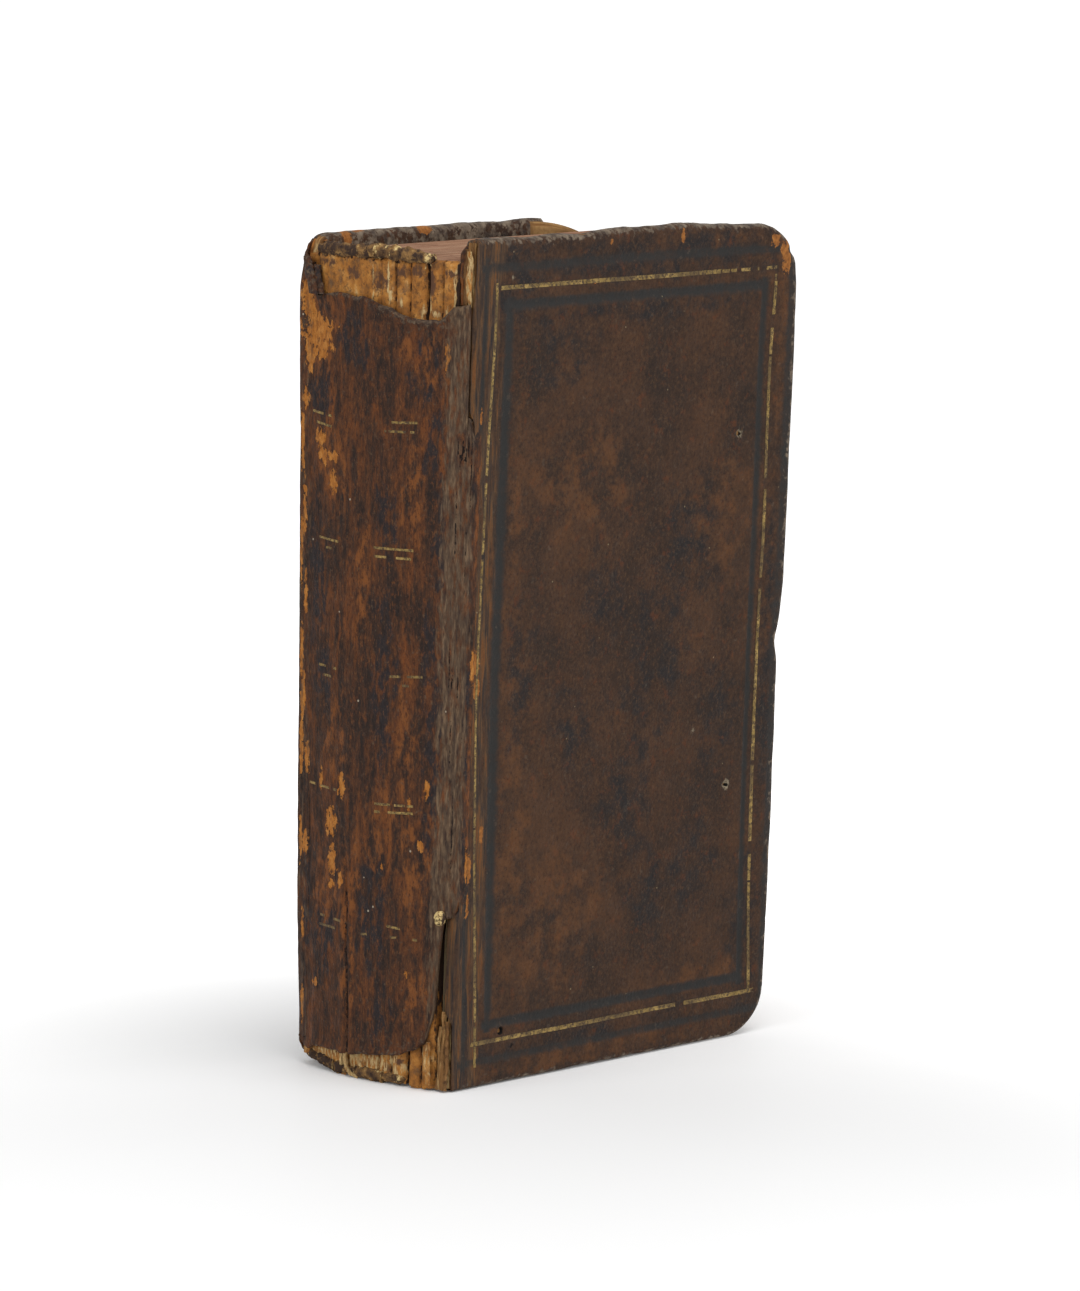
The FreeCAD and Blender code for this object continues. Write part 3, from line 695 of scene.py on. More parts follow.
def skin_world(s, z, depth, side, sunk=0.0):
    """The outer skin: flat, and turned round the board's edge where s is less than WRAP."""
    turn = np.clip((WRAP - s) / WRAP, 0, math.pi / 2)
    down = np.clip(WRAP - s - WRAP * math.pi / 2, 0, None)
    x = np.where(s > WRAP, s, WRAP - WRAP * np.sin(turn)) + sunk * np.sin(turn)
    d = np.where(s > WRAP, 0, WRAP - WRAP * np.cos(turn) + down) + (depth + sunk) * np.cos(turn)
    return cover_world(x, z, d, side)


def lost_share(s, z):
    """How far out a point lies in the back cover's lost corner; its worn outline is at 1."""
    across = np.clip(s - (WIDTH - LOST_WIDE), 0, None) / LOST_WIDE
    up = np.clip(z - (HEIGHT - LOST_HIGH), 0, None) / LOST_HIGH
    return np.hypot(across, up)


def with_detail(places, centres, offsets, near=0.22):
    """Adds places close to each centre, so that the mesh has rows where the detail is."""
    extra = np.array([c + o for c in centres for o in offsets])
    kept = [p for p in places if np.min(np.abs(extra - p)) > near or p in (places[0], places[-1])]
    merged = np.unique(np.round(np.concatenate([kept, extra]), 3))
    return merged[np.concatenate([[True], np.diff(merged) > 0.08])]


line_offsets = np.array([-0.75, -0.4, 0, 0.4, 0.75])
hole_offsets = np.linspace(-0.9, 0.9, 7)
insets = (GOLD_LINE, INNER_LINE, OUTER_LINE)
line_s = [GOLD["joint"] + i for i in insets] + [WIDTH - GOLD["fore"] - i for i in insets]
line_z = [GOLD["tail"] + i for i in insets] + [HEIGHT - GOLD["head"] - i for i in insets]


def make_cover_leather(name, side, body, radii, node):
    s_steps = with_detail(steps(0, WIDTH, 0.95, 0.22, 1.7), line_s, line_offsets)
    z_steps = with_detail(steps(0, HEIGHT, 0.95, 0.22, 1.7), line_z, line_offsets)
    if side < 0:
        s_steps = with_detail(s_steps, [h[0] for h in WORM_HOLES[:2]], hole_offsets)
        z_steps = with_detail(z_steps, [h[1] for h in WORM_HOLES], hole_offsets)
    s, z = np.meshgrid(s_steps, z_steps, indexing="ij")
    s, z = round_corners(s, z, WIDTH, HEIGHT, radii)
    away = edge_distance(s, z, WIDTH, HEIGHT, radii)
    away = np.where(s < 6, np.minimum(z, HEIGHT - z), away)
    s = s + left_edge(z, side) * np.clip(1 - s / 6.0, 0, 1)
    half = THICK / 2
    bulge = np.clip(1 - (1 - np.clip(away / 1.5, 0, 1)) ** 2.3, 0, 1) ** (1 / 2.3)
    rough = np.stack([s, z, np.full_like(s, side)], axis=-1)
    wear = np.clip(0.5 * (ripple(rough, (5, 8, 1), 12.0, 4) + 0.25), 0, None) * soft_step(away, 2.5, 0.0)
    if side < 0:
        worn_place = np.exp(-(((s - 29) / 3.0) ** 2))
        wear = wear * (0.35 + 0.65 * (z > 20)) + 0.5 * worn_place * soft_step(HEIGHT - z, 3, 0)
    push_z = np.where(z > HEIGHT / 2, -1, 1) * wear * soft_step(np.minimum(z, HEIGHT - z), 5, 1)
    notch = 0.0
    if side < 0:
        notch = 0.8 * np.exp(-(((z - 72) / 2.6) ** 2)) + 0.9 * np.exp(-(((z - 143) / 1.0) ** 2))
    push_s = (notch + 0.7 * wear) * soft_step(WIDTH - s, 3, 0)
    dip = cover_relief(s, z, side) * soft_step(away, 0, 2)
    flat = s, z
    s, z = worn_outline(s, z, side)
    depth = half - half * bulge + dip
    outer = skin_world(s - push_s, z + push_z, depth, side)
    below = skin_world(s - push_s, z + push_z, depth, side, 0.62)
    inner_depth = half + (half - 0.2) * bulge
    inner = cover_world(np.clip(s, 0.75, None) - push_s, z + push_z, inner_depth, side)
    inner_below = cover_world(np.clip(s, 0.75, None) - push_s, z + push_z, inner_depth - 0.28, side)
    count = s.size
    index = np.arange(count).reshape(s.shape)
    under = index + count
    under[-1, :], under[:, 0], under[:, -1] = index[-1, :], index[:, 0] + count, index[:, -1]
    mid_s, mid_z = (s[:-1, :-1] + s[1:, 1:]) / 2, (z[:-1, :-1] + z[1:, 1:]) / 2
    spot = np.stack([mid_s, mid_z, mid_s * 0], axis=-1)
    s, z = flat
    ring = np.minimum.reduce([WIDTH - mid_s, mid_z, HEIGHT - mid_z])
    turned = ring < TURN_IN + 1.2 * ripple(spot, (9, 9, 1), 2.0)
    face = np.ones_like(turned)
    if side > 0:
        below_lost = soft_step(mid_z - (HEIGHT - LOST_HIGH), 6, 0)
        ends = below_lost + soft_step(mid_s - (WIDTH - LOST_WIDE), 9, 0)
        face = lost_share(mid_s, mid_z) < 0.90 + 0.05 * ripple(spot, (3, 3, 1), 5.0) + 0.25 * ends
        turned &= ~((mid_s > WIDTH - LOST_WIDE) & (mid_z > HEIGHT - LOST_HIGH))
    skin = np.concatenate(
        [grid_faces(index)[face.reshape(-1)], grid_faces(under)[turned.reshape(-1)][:, ::-1]]
    )
    pull = 0.6 * soft_step(away, 0.7, 0.0)
    to_heart_s = -pull * (WIDTH - s < 3)
    to_heart_z = pull * np.where(z > HEIGHT / 2, -1, 1) * (np.minimum(z, HEIGHT - z) < 3)
    for layer in (below, inner_below):
        layer[..., 0] += to_heart_s
        layer[..., 2] += to_heart_z
    points = np.concatenate([outer.reshape(-1, 3), inner.reshape(-1, 3)])
    lower = np.concatenate([below.reshape(-1, 3), inner_below.reshape(-1, 3)])
    solid, faces = thicken(points, lower, skin)
    flat_s, flat_z = np.tile(s.reshape(-1), 4), np.tile(z.reshape(-1), 4)
    marks = cover_marks(flat_s, flat_z, np.tile(away.reshape(-1), 4), side)
    inside = np.tile(np.repeat([0.0, 1.0], s.size), 2)
    marks["rub"] = np.maximum(marks["rub"], 0.72 * inside)
    return make_piece(name, solid, faces, calf, body, node, marks)


def cover_marks(s, z, away, side):
    pale, holes = [], []
    if side < 0:
        stains = [
            (46, 50, 8, 15), (53, 76, 8, 13), (60, 92, 8, 10), (38, 84, 7, 9), (30, 62, 6, 8),
            (64, 34, 7, 9), (50, 144, 40, 4.5), (14, 144, 14, 6), (9, 138, 9, 5), (15, 72, 4, 14),
            (84, 70, 3, 30), (70, 60, 6, 9), (52, 30, 6, 8), (30, 6, 22, 2), (80, 20, 5, 16),
            (24, 128, 9, 5), (50, 64, 7, 9), (45, 134.5, 34, 2),
        ]
        warms = [
            (3.5, 78, 3.5, 50), (14, 40, 5, 34), (34, 3, 34, 3), (83, 143, 5, 4), (30, 30, 12, 10),
            (22, 20, 10, 8), (83, 142, 4, 4), (66, 146, 10, 1.6), (14.9, 45.2, 2.6, 0.8),
            (14.9, 45.2, 2.0, 0.6), (84.5, 120, 1.4, 26), (12, 100, 3, 30), (86, 125, 2, 18),
            (30, 105, 14, 12), (70, 95, 8, 12), (10, 25, 3, 20), (70, 12, 14, 3),
        ]
        scuffs = [
            (2.7, 75.1, 1.1, 2.6), (3.4, 70.6, 0.9, 1.8), (2.6, 39.1, 0.9, 2.4), (2.2, 60, 0.4, 2),
            (2.8, 32, 0.3, 3), (85.8, 141.6, 1.1, 3.0), (82.3, 145.4, 1.3, 1.3),
            (84.4, 143.4, 0.8, 1.6), (36, 147.5, 0.8, 0.5), (32, 140, 0.3, 0.3), (6.0, 45, 0.7, 1.8),
            (56, 147.2, 0.5, 1.2), (2.4, 118, 0.3, 1.5),
        ]
        pale = [
            (73.8, 110.8, 0.9, 0.9), (73.5, 47.0, 1.0, 1.0), (63.7, 57.8, 0.55, 0.8),
            (9.6, 142.2, 0.3, 0.3)
        ]
        # Worm holes, whose insides are painted nearly black as shade.
        holes = [
            (12.9, 9.4, 0.8, 0.8), (74.0, 110.7, 0.4, 0.4), (73.8, 46.8, 0.35, 0.35),
            (63.7, 57.8, 0.2, 0.35), (9.4, 142.6, 0.4, 0.3), (15.8, 6.5, 0.3, 0.3),
        ]
    else:
        stains = [(30, 100, 14, 20), (60, 60, 16, 20), (20, 30, 8, 20), (50, 140, 28, 5), (82, 40, 5, 30)]
        warms = [(3, 80, 4, 50), (40, 4, 30, 3), (70, 110, 10, 12), (30, 60, 12, 12)]
        scuffs = [
            (3, 60, 1, 4), (2.5, 100, 1, 3), (84, 4, 2, 3), (60, 1, 4, 1), (7.5, 147, 1.2, 1.4),
            (11.5, 148, 2.2, 0.3), (1.5, 145, 1.0, 2.0), (28, 147.4, 1.8, 0.8)
        ]
    inner_line = 0.9 * soft_step(line_distance(s, z, INNER_LINE), 1.5, 0.4)
    outer_line = 0.75 * soft_step(line_distance(s, z, OUTER_LINE), 1.3, 0.3)
    gold_line = 0.35 * soft_step(line_distance(s, z, GOLD_LINE), 1.0, 0.4)
    s, z = worn_outline(s, z, side)
    return {
        "drawn": soft_step(s, 9.5, 5.5) if side < 0 else 0.6 * soft_step(s, 8, 3),
        "stain": blots(s, z, stains, 0.25, 2.0),
        "warm": blots(s, z, warms, 0.25, 4.0),
        "scuff": blots(s, z, scuffs, 0.3, 6.0),
        "tool": np.maximum.reduce([inner_line, outer_line, gold_line]),
        "rub": soft_step(away, 1.5, 0.1) * soft_step(s, 0, 3),
        "pale": blots(s, z, pale),
        "hole_shade": blots(s, z, holes),
    }


back_radii = ((3.0, 4.5), (8, 8), (LOST_WIDE, LOST_HIGH), (4.0, 5.0))
make_cover_leather("front_cover_calf", -1, "front_cover", front_radii, ["front_leather"])
make_cover_leather("back_cover_calf", 1, "back_cover", back_radii, ["back_leather"])

# %% [markdown]
# The gold frame is a ribbon of leaf pressed into the tooled groove. It is its own thin piece, so that
# it can be repainted. Its ends overrun at the corners, as the binder's roll did, and where the leaf has
# flaked away the ribbon has gaps.

# %% Gold frames
def ribbon(start, end, width, seed, keep, gap=3.0):
    """Grid of (s, z) places along a tooled line, and which of its cells still hold gold."""
    start, end = np.array(start, float), np.array(end, float)
    length = np.hypot(*(end - start))
    along = (end - start) / length
    across = np.array([-along[1], along[0]])
    t = np.linspace(0, length, max(6, int(length / 0.4)))
    w = np.array([-0.5, -0.2, 0.2, 0.5]) * width
    wander = 0.10 * ripple(np.stack([t, t * 0 + seed, t * 0], axis=-1), (14, 1, 1), seed)
    grid = start + t[:, None, None] * along + (w[None, :, None] + wander[:, None, None]) * across
    spot = np.stack([t, t * 0 + seed, t * 0 + 5], axis=-1)
    kept = ripple(spot, (gap, 1, 1), seed * 3.0, 4) < keep
    return grid, np.repeat(kept[:-1, None], len(w) - 1, axis=1)


def make_gold(name, ribbons, surface, body, node):
    outer, inner, faces, count = [], [], [], 0
    for grid, kept in ribbons:
        index = np.arange(grid.shape[0] * grid.shape[1]).reshape(grid.shape[:2]) + count
        faces.append(grid_faces(index)[kept.reshape(-1)])
        outer.append(surface(grid[..., 0], grid[..., 1], -0.05).reshape(-1, 3))
        inner.append(surface(grid[..., 0], grid[..., 1], 0.10).reshape(-1, 3))
        count += index.size
    points, solid = thicken(np.concatenate(outer), np.concatenate(inner), np.concatenate(faces))
    return make_piece(name, points, solid, gilt, body, node)


def gold_frame(name, side, body, node, seed):
    left, right = GOLD["joint"] + GOLD_LINE, WIDTH - GOLD["fore"] - GOLD_LINE
    low, high = GOLD["tail"] + GOLD_LINE, HEIGHT - GOLD["head"] - GOLD_LINE
    fore_top = high - 2.5 if side < 0 else HEIGHT - LOST_HIGH + 0.5
    ribbons = [
        ribbon((left, low - 4.2), (left, high + 0.9), 0.62, seed, 0.5),
        ribbon((right, low - 0.4), (right, fore_top), 0.78, seed + 1, 0.36),
        ribbon((left + 0.9, high), (67, high), 0.75, seed + 2, 0.70),
        ribbon((left - 1.3, low), (right + 1.4, low), 0.75, seed + 3, 0.52),
    ]
    if side < 0:
        ribbons.append(ribbon((67.4, high), (right + 0.2, high), 0.6, seed + 5, 0.1, 1.6))
        ribbons.append(ribbon((right, high - 2.3), (right, high + 0.4), 0.5, seed + 6, 0.0, 1.3))

    def surface(s, z, sink):
        return cover_world(*worn_outline(s, z, side), cover_relief(s, z, side) + sink, side)

    return make_gold(name, ribbons, surface, body, node)


gold_frame("front_gold_frame", -1, "front_cover", ["front_gilt_frame"], 11)
gold_frame("back_gold_frame", 1, "back_cover", ["back_gilt_frame"], 31)

# %% [markdown]
# The pasteboards hold everything in shape. Their edge at the joint is split into layers, which show at
# the head and the tail of the front joint. The back board has lost a corner at the head: the leather is
# gone from it and the bare board is worn to a curve.

# %% Pasteboards
def make_board(name, side, body, radii, node):
    outer_skin, inner_skin = 0.68, 0.5
    s_steps = steps(outer_skin, WIDTH - 0.6, 1.6, 0.3, 1.2)
    z_steps = steps(0.6, HEIGHT - 0.6, 1.2, 0.3, 6.0)
    d_steps = np.linspace(outer_skin, THICK - inner_skin, 17)

    def place(s, d, z):
        s, z = round_corners(s, z, WIDTH - 0.3, HEIGHT - 0.3, radii)
        layer = np.stack([d * 2.2, z * 0.1, s * 0], axis=-1)
        joint_side = soft_step(s, 1.9, 0.6)
        open_end = np.maximum(soft_step(z, 133, 137), soft_step(z, 15, 11)) if side < 0 else 0.0
        chewed = 0.55 * ripple(layer, (1, 1, 1), 3.0 + side, 3) - 0.1
        foot = -0.9 * soft_step(z, 5.0, 2.0) * np.exp(-(((d - 2.0) / 1.0) ** 2)) if side < 0 else 0.0
        s = s + joint_side * (open_end * chewed + foot + 0.05)
        mid = (outer_skin + THICK - inner_skin) / 2
        away = edge_distance(s, z, WIDTH, HEIGHT, radii)
        soft = soft_step(away, 1.6, 0.4) * 0.35
        d = d - (d - mid) * soft
        s, z = worn_outline(s, z, side)
        return cover_world(s, z, d, side)

    points, faces, _ = block_shell(s_steps, d_steps, z_steps, place)
    depth = HALF - side * points[:, 1]
    s = points[:, 0] - JOINT
    near = soft_step(s, 2.0, 1.0)
    marks = {
        "pale": near * blots(
            depth, points[:, 2],
            [(1.8, 142, 0.7, 5), (1.3, 4, 0.35, 9), (2.5, 8, 0.25, 6), (1.9, 1, 0.9, 2)], 0.3, 3.0
        ),
        "shade": near * blots(
            depth, points[:, 2],
            [
                (2.75, 142, 0.3, 6), (0.9, 10, 0.3, 9), (2.0, 11, 0.25, 8), (2.9, 20, 0.4, 14),
                (1.6, 24, 1.2, 7)
            ],
            0.3, 5.0
        ),
    }
    return make_piece(name, points, faces, board_finish, body, node, marks)


make_board("front_board_sheets", -1, "front_cover", front_radii, ["front_board"])
make_board("back_board_sheets", 1, "back_cover", back_radii, ["back_board"])

# %% [markdown]
# Inside each cover a sheet of old paper is pasted over the board and over the turned-in leather. It
# follows the step at the edge of the leather, which shows through it as a soft ridge.

# %% Pasted sheets inside the covers
def make_pasted_sheet(name, side, body, node):
    margin = 4.0
    s, z = np.meshgrid(
        steps(margin, WIDTH - margin, 0.9), steps(margin, HEIGHT - margin, 0.9), indexing="ij"
    )
    rough = np.stack([s, z, s * 0 + side * 3], axis=-1)
    rim = np.minimum.reduce([s - margin, WIDTH - margin - s, z - margin, HEIGHT - margin - z])
    pull = 0.35 * ripple(rough, (4, 4, 1), 2.0) * soft_step(rim, 2, 0)
    s = np.clip(s + pull * np.sign(WIDTH / 2 - s), 3.2, WIDTH - 3.2)
    ring = np.minimum.reduce([WIDTH - s, z, HEIGHT - z]) - TURN_IN - 4.0
    sunk = 0.22 * soft_step(ring, -0.6, 0.8) + 0.05 * (ripple(rough, (8, 8, 1), 6.0) + 1)
    sunk = sunk + 0.12 * soft_step(rim, 0.8, 0)
    keep = (side < 0) | (lost_share(s, z) < 0.82 + 0.06 * ripple(rough, (3, 3, 1), 9.0))
    index = np.arange(s.size).reshape(s.shape)
    cell = keep[:-1, :-1] & keep[1:, :-1] & keep[1:, 1:] & keep[:-1, 1:]
    outer = cover_world(s, z, THICK - 0.02 - sunk, side)
    inner = cover_world(s, z, THICK - 0.16 - sunk, side)
    points, faces = thicken(outer, inner, grid_faces(index)[cell.reshape(-1)])
    flat_s, flat_z = points[:, 0] - JOINT, points[:, 2]
    away = np.minimum.reduce(
        [flat_s - margin, WIDTH - margin - flat_s, flat_z - margin, HEIGHT - margin - flat_z]
    )
    return make_piece(name, points, faces, paper, body, node, {"edge": soft_step(away, 9, 0)})


make_pasted_sheet("front_pasted_sheet", -1, "front_cover", ["front_pastedown"])
make_pasted_sheet("back_pasted_sheet", 1, "back_cover", ["back_pastedown"])

# %% [markdown]
# ## The leaves
# The leaves are folded in gatherings, sewn, glued and rounded, so the back is a fan of folds with a
# shoulder on each side for the boards, and the fore edge is hollow. One block of points is pressed into
# that shape; only its skin is kept. The folds are modelled finely at the head and the tail, where the
# torn leather lets them show.

# %% Block of leaves
FOLD_RADIUS, FOLD_CENTRE = 61.78, 17.18
SIDE, SHOULDER = 15.1, 17.9
LEAF_TAIL, LEAF_HEAD, LEAF_DEPTH = 2.4, 145.0, 84.0
valleys = [
    (-15.4, 0.5), (-12.6, 0.55), (-9.8, 1.3), (-6.3, 0.5), (-3.3, 0.6), (-0.2, 0.35), (3.0, 0.15),
    (6.2, 0.15), (9.4, 0.12), (12.6, 0.2), (15.4, 0.4),
]


def fold_x(y):
    return FOLD_CENTRE - np.sqrt(FOLD_RADIUS**2 - np.clip(y, -20, 20) ** 2)


def leaf_place(a, b, c):
    covered = soft_step(c, 30, 34) * soft_step(c, 134, 128)
    wide = np.where(a < 0, 15.45 + (SHOULDER - 15.45) * covered, SHOULDER)
    fan = a * wide
    near_back = np.exp(-b / 0.9)
    x_back = fold_x(fan)
    x_fore = 42.4 - 2.6 * (1 - a * a)
    x = x_back + (x_fore - x_back) * b / LEAF_DEPTH
    flare = 1 - soft_step(x, -42.05, -41.7 + 3.0 * (1 - np.abs(a)))
    y = SIDE * a + (wide - SIDE) * a * flare
    dent = sum(depth * np.exp(-(((fan - at) / 0.26) ** 2)) for at, depth in valleys)
    dent = dent + sum(0.25 * depth * np.exp(-(((fan - at) / 0.9) ** 2)) for at, depth in valleys)
    open_end = np.where(c > HEIGHT / 2, soft_step(c, 132, 137), soft_step(c, 14, 8))
    back_points = np.stack([x * 0, fan, c], axis=-1)
    lumps = 0.16 * ripple(back_points, (1, 1.1, 2.2), 4.0, 4)
    lumps = lumps + 0.10 * ripple(back_points, (1, 4, 5), 9.0, 2)
    lining = 0.22 * soft_step(fan, 1.0, 1.5) * soft_step(fan, 14.8, 14.2) * soft_step(c, 136, 138)
    x = x + near_back * open_end * (dent + 0.16 + lumps - lining)
    leaf_rows = np.stack([fan * 3.1, c * 0, x * 0.02], axis=-1)
    uneven = 0.16 * ripple(leaf_rows, (1, 1, 1), 2.0, 3)
    step = 0.35 * ripple(np.stack([np.round(fan / 3.1) * 3.7, c * 0, c * 0], axis=-1), (2, 1, 1), 6.0, 1)
    head = soft_step(c, LEAF_HEAD - 1.5, LEAF_HEAD)
    tail = soft_step(c, 3.9, LEAF_TAIL)
    low = near_back * (0.75 + step * 1.2) + uneven - 0.1
    sunk = 1.5 * np.exp(-b / 3.0) * soft_step(fan, 12, 6)
    z = c - head * low + tail * (low - near_back * 1.2 - sunk)
    fore = soft_step(b, 83.2, LEAF_DEPTH)
    page = ripple(np.stack([fan * 3.1, c * 0.02, c * 0], axis=-1), (1, 1, 1), 12.0, 3)
    x = x - fore * 0.18 * (page + 0.6)
    return np.stack([x, y, z], axis=-1)


a_steps = np.linspace(-1, 1, 173)
b_steps = np.concatenate(
    [np.arange(0, 3.0, 0.3), np.arange(3, 8, 1.0), np.arange(8, 83, 5.0), [83.2, 83.6, LEAF_DEPTH]]
)
c_steps = [np.arange(LEAF_TAIL, 13, 0.32), np.arange(13, 130, 6.5), np.arange(130, 144.8, 0.36)]
c_steps = np.concatenate([*c_steps, [144.8, LEAF_HEAD]])
points, faces, sides = block_shell(a_steps, b_steps, c_steps, leaf_place)
across, up = points[:, 1], points[:, 2]
# Painted shade: dark lines in the valleys between gatherings, the front shoulder darkened at the tail so
# that it recedes in the cracked joint, and the front face behind the board at the head.
dark = sum(depth * 1.2 * np.exp(-(((across - at) / 0.3) ** 2)) for at, depth in valleys)
dark += 1.3 * soft_step(up, 12.5, 15) * soft_step(up, 34, 31) * soft_step(across, -14.5, -15.2)
dark += 0.8 * soft_step(across, -14.9, -15.4) * soft_step(up, 133, 136)
# Painted highlight: the thin pale lines along the fold ridges at the head; the wider spots are cream paper
# where it broke.
ridge_highlights_and_cream = [
    (1.3, 141, 0.22, 3.5), (-1.9, 141.5, 0.22, 3.0), (-10.4, 139.5, 0.22, 4), (-15.0, 140.5, 0.3, 4.5),
    (-2.4, 138.4, 0.6, 1.2), (-11.8, 135.6, 1.2, 0.6), (-4.4, 137.2, 0.7, 0.7), (-9.2, 136, 0.3, 1.2),
    (-13.6, 136.4, 0.4, 0.8), (1.5, 3.8, 2.8, 1.5), (-3.4, 3.6, 2.6, 1.4), (9, 4.4, 3.4, 0.9),
    (-6.4, 4.2, 0.6, 1.4), (-9.6, 3.2, 0.6, 1.0), (-7.6, 3, 0.3, 1.6), (-13.2, 5.6, 0.3, 2.4),
    (12, 3.6, 2, 0.5),
]
umber = [
    (-0.2, 140.6, 1.5, 1.8), (-10.9, 141, 1.0, 2.6), (12.0, 143.2, 3.0, 0.7), (5.8, 141.8, 1.4, 1.2),
    (-7.9, 142.8, 1.2, 0.9), (14.2, 139, 1.0, 4), (-14.0, 142.6, 1.2, 0.8), (-4.8, 142.6, 1.2, 0.8),
    (13, 5.0, 1.6, 0.5), (-8, 4.4, 1.0, 0.4),
]
foot_pale = 0.62 * soft_step(up, 6.8, 4.6) * soft_step(across, -9.6, -8.4)
# A broken line of painted shade on the folds just under the head band.
broken = 0.5 + 0.5 * ripple(np.stack([across, across * 0, across * 0], axis=-1), (1.2, 1, 1), 9.0, 3)
shade_under_roll = 0.8 * soft_step(up, 143.8, 144.3) * soft_step(across, -11.2, -9.6) * np.clip(broken, 0, 1)
leaf_marks = {
    "shade": np.clip(dark + shade_under_roll, 0, 1),
    "pale": np.maximum(blots(across, up, ridge_highlights_and_cream, 0.3, 8.0), foot_pale),
    "edge": 0 * up,
    "umber": blots(across, up, umber, 0.4, 4.0),
}
# Side faces by the joint, and top and bottom faces behind the folds, take the fold finish so that its
# painted shade darkens them.
middles = points[faces].mean(axis=1)
by_joint = middles[:, 0] < JOINT + 1.5
kinds = np.array([2, 2, 1, 0, 0, 0])[sides]
kinds[(sides < 2) & by_joint] = 1
behind = middles[:, 0] < fold_x(middles[:, 1]) + 1.6
kinds[(sides > 3) & behind] = 1
make_piece(
    "leaves", points, faces, [edges, folds, paper], "book_block", ["text_block"], leaf_marks,
    kinds, 40
)

# %% [markdown]
# ## The leather on the back
# The leather over the folds is torn off at the head and the tail. A grid of points runs round the back
# from joint to joint; its rows end on the torn outlines, which were read off the photograph. Near each
# torn edge the leather lifts and curls away from the folds, and its thickness shows.

# %% Leather of the back
BACK_RADIUS, BACK_CENTRE = 52.40, 7.0
torn_head = [
    (-18.7, 138.0), (-15.3, 137.3), (-12.8, 134.6), (-7.5, 134.8), (-3, 136.2), (2.5, 137.8),
    (7.4, 138.2), (13.5, 137.8), (15.3, 138.2), (16.2, 141.0), (17.0, 143.0), (17.8, 143.6),
    (18.7, 144.2),
]
torn_tail = [
    (-18.7, 31.0), (-16.9, 30.5), (-16.2, 24), (-15.7, 14.0), (-14.0, 8.2), (-8.9, 5.5), (2.9, 4.4),
    (8.5, 4.1), (13.5, 4.0), (15.5, 3.0), (17.0, 3.4), (18.7, 4.6),
]


def back_world(y, z, lift):
    """A point on the back's arc, raised by lift mm."""
    turn = np.arcsin(np.clip(y / BACK_RADIUS, -1, 1))
    r = BACK_RADIUS + lift
    return np.stack([BACK_CENTRE - r * np.cos(turn), r * np.sin(turn), z], axis=-1)


def outline(y, places, shift, rag=0.45):
    places = sorted(places)
    height = np.interp(y, [p[0] for p in places], [p[1] for p in places])
    rough = np.stack([y, y * 0 + shift, y * 0], axis=-1)
    return height + rag * ripple(rough, (1.7, 1, 1), shift, 4)


def crease_line(z):
    rough = np.stack([z * 0, z, z * 0 + 2], axis=-1)
    return 3.4 + 0.035 * np.clip(z, 0, 42) + 0.35 * ripple(rough, (1, 5, 1), 6.0, 3)


def back_relief(y, z):
    """Height of the worn surface above the back's arc, in mm."""
    spot = np.stack([y, z, y * 0], axis=-1)
    height = 0.10 * ripple(spot, (0.9, 11, 1), 3.0, 3) + 0.16 * ripple(spot, (4.5, 30, 1), 7.0, 2)
    height += 0.05 * ripple(spot, (0.8, 1.4, 1), 13.0, 3)
    crease_at = crease_line(z)
    crease = soft_step(z, 46, 30)
    height -= 0.42 * crease * np.exp(-(((y - crease_at) / 0.32) ** 2))
    height += 0.22 * crease * np.exp(-(((y - crease_at + 1.0) / 0.6) ** 2))
    height += 0.14 * crease * np.exp(-(((y - crease_at - 1.1) / 0.7) ** 2))
    return height


s_back = np.linspace(18.7, -18.15, 108)
rows = np.concatenate(
    [np.linspace(0, 0.018, 7), np.linspace(0.018, 0.982, 300)[1:-1], np.linspace(0.982, 1, 7)]
)
y, share = np.meshgrid(s_back, rows, indexing="ij")
high, low = outline(y, torn_head, 2.0), outline(y, torn_tail, 5.0)
z = low + (high - low) * share
from_head, from_tail = high - z, z - low
lip = 0.7 * soft_step(from_head, 2.6, 0.3) * soft_step(from_head, -0.1, 0.35)
lip = lip * (0.7 + 0.9 * ripple(np.stack([y, z * 0, z * 0], axis=-1), (2.5, 1, 1), 3.0, 4))
lip = lip * soft_step(y, 18.6, 16.5) + 0.3 * soft_step(from_tail, 1.6, 0.2) * soft_step(from_tail, 0, 0.3)
height = back_relief(y, z) + lip
flaked = blots(y, z, [(12.6, 130.3, 4.6, 4.4), (8.2, 45.1, 1.7, 2.5), (10.7, 35.9, 1.2, 2.0)], 0.3, 1.0)
height -= 0.10 * soft_step(flaked, 0.4, 0.6)
outer = back_world(y, z, height - 0.05)
inner = back_world(y, z, height - 0.85 + 0.5 * soft_step(np.minimum(from_head, from_tail), 0.5, 0))
index = np.arange(y.size).reshape(y.shape)
points, faces = thicken(outer, inner, grid_faces(index))
across, up = np.tile(y.reshape(-1), 2), np.tile(z.reshape(-1), 2)
near_torn = np.tile(np.minimum(from_head, from_tail + 0.6).reshape(-1), 2)
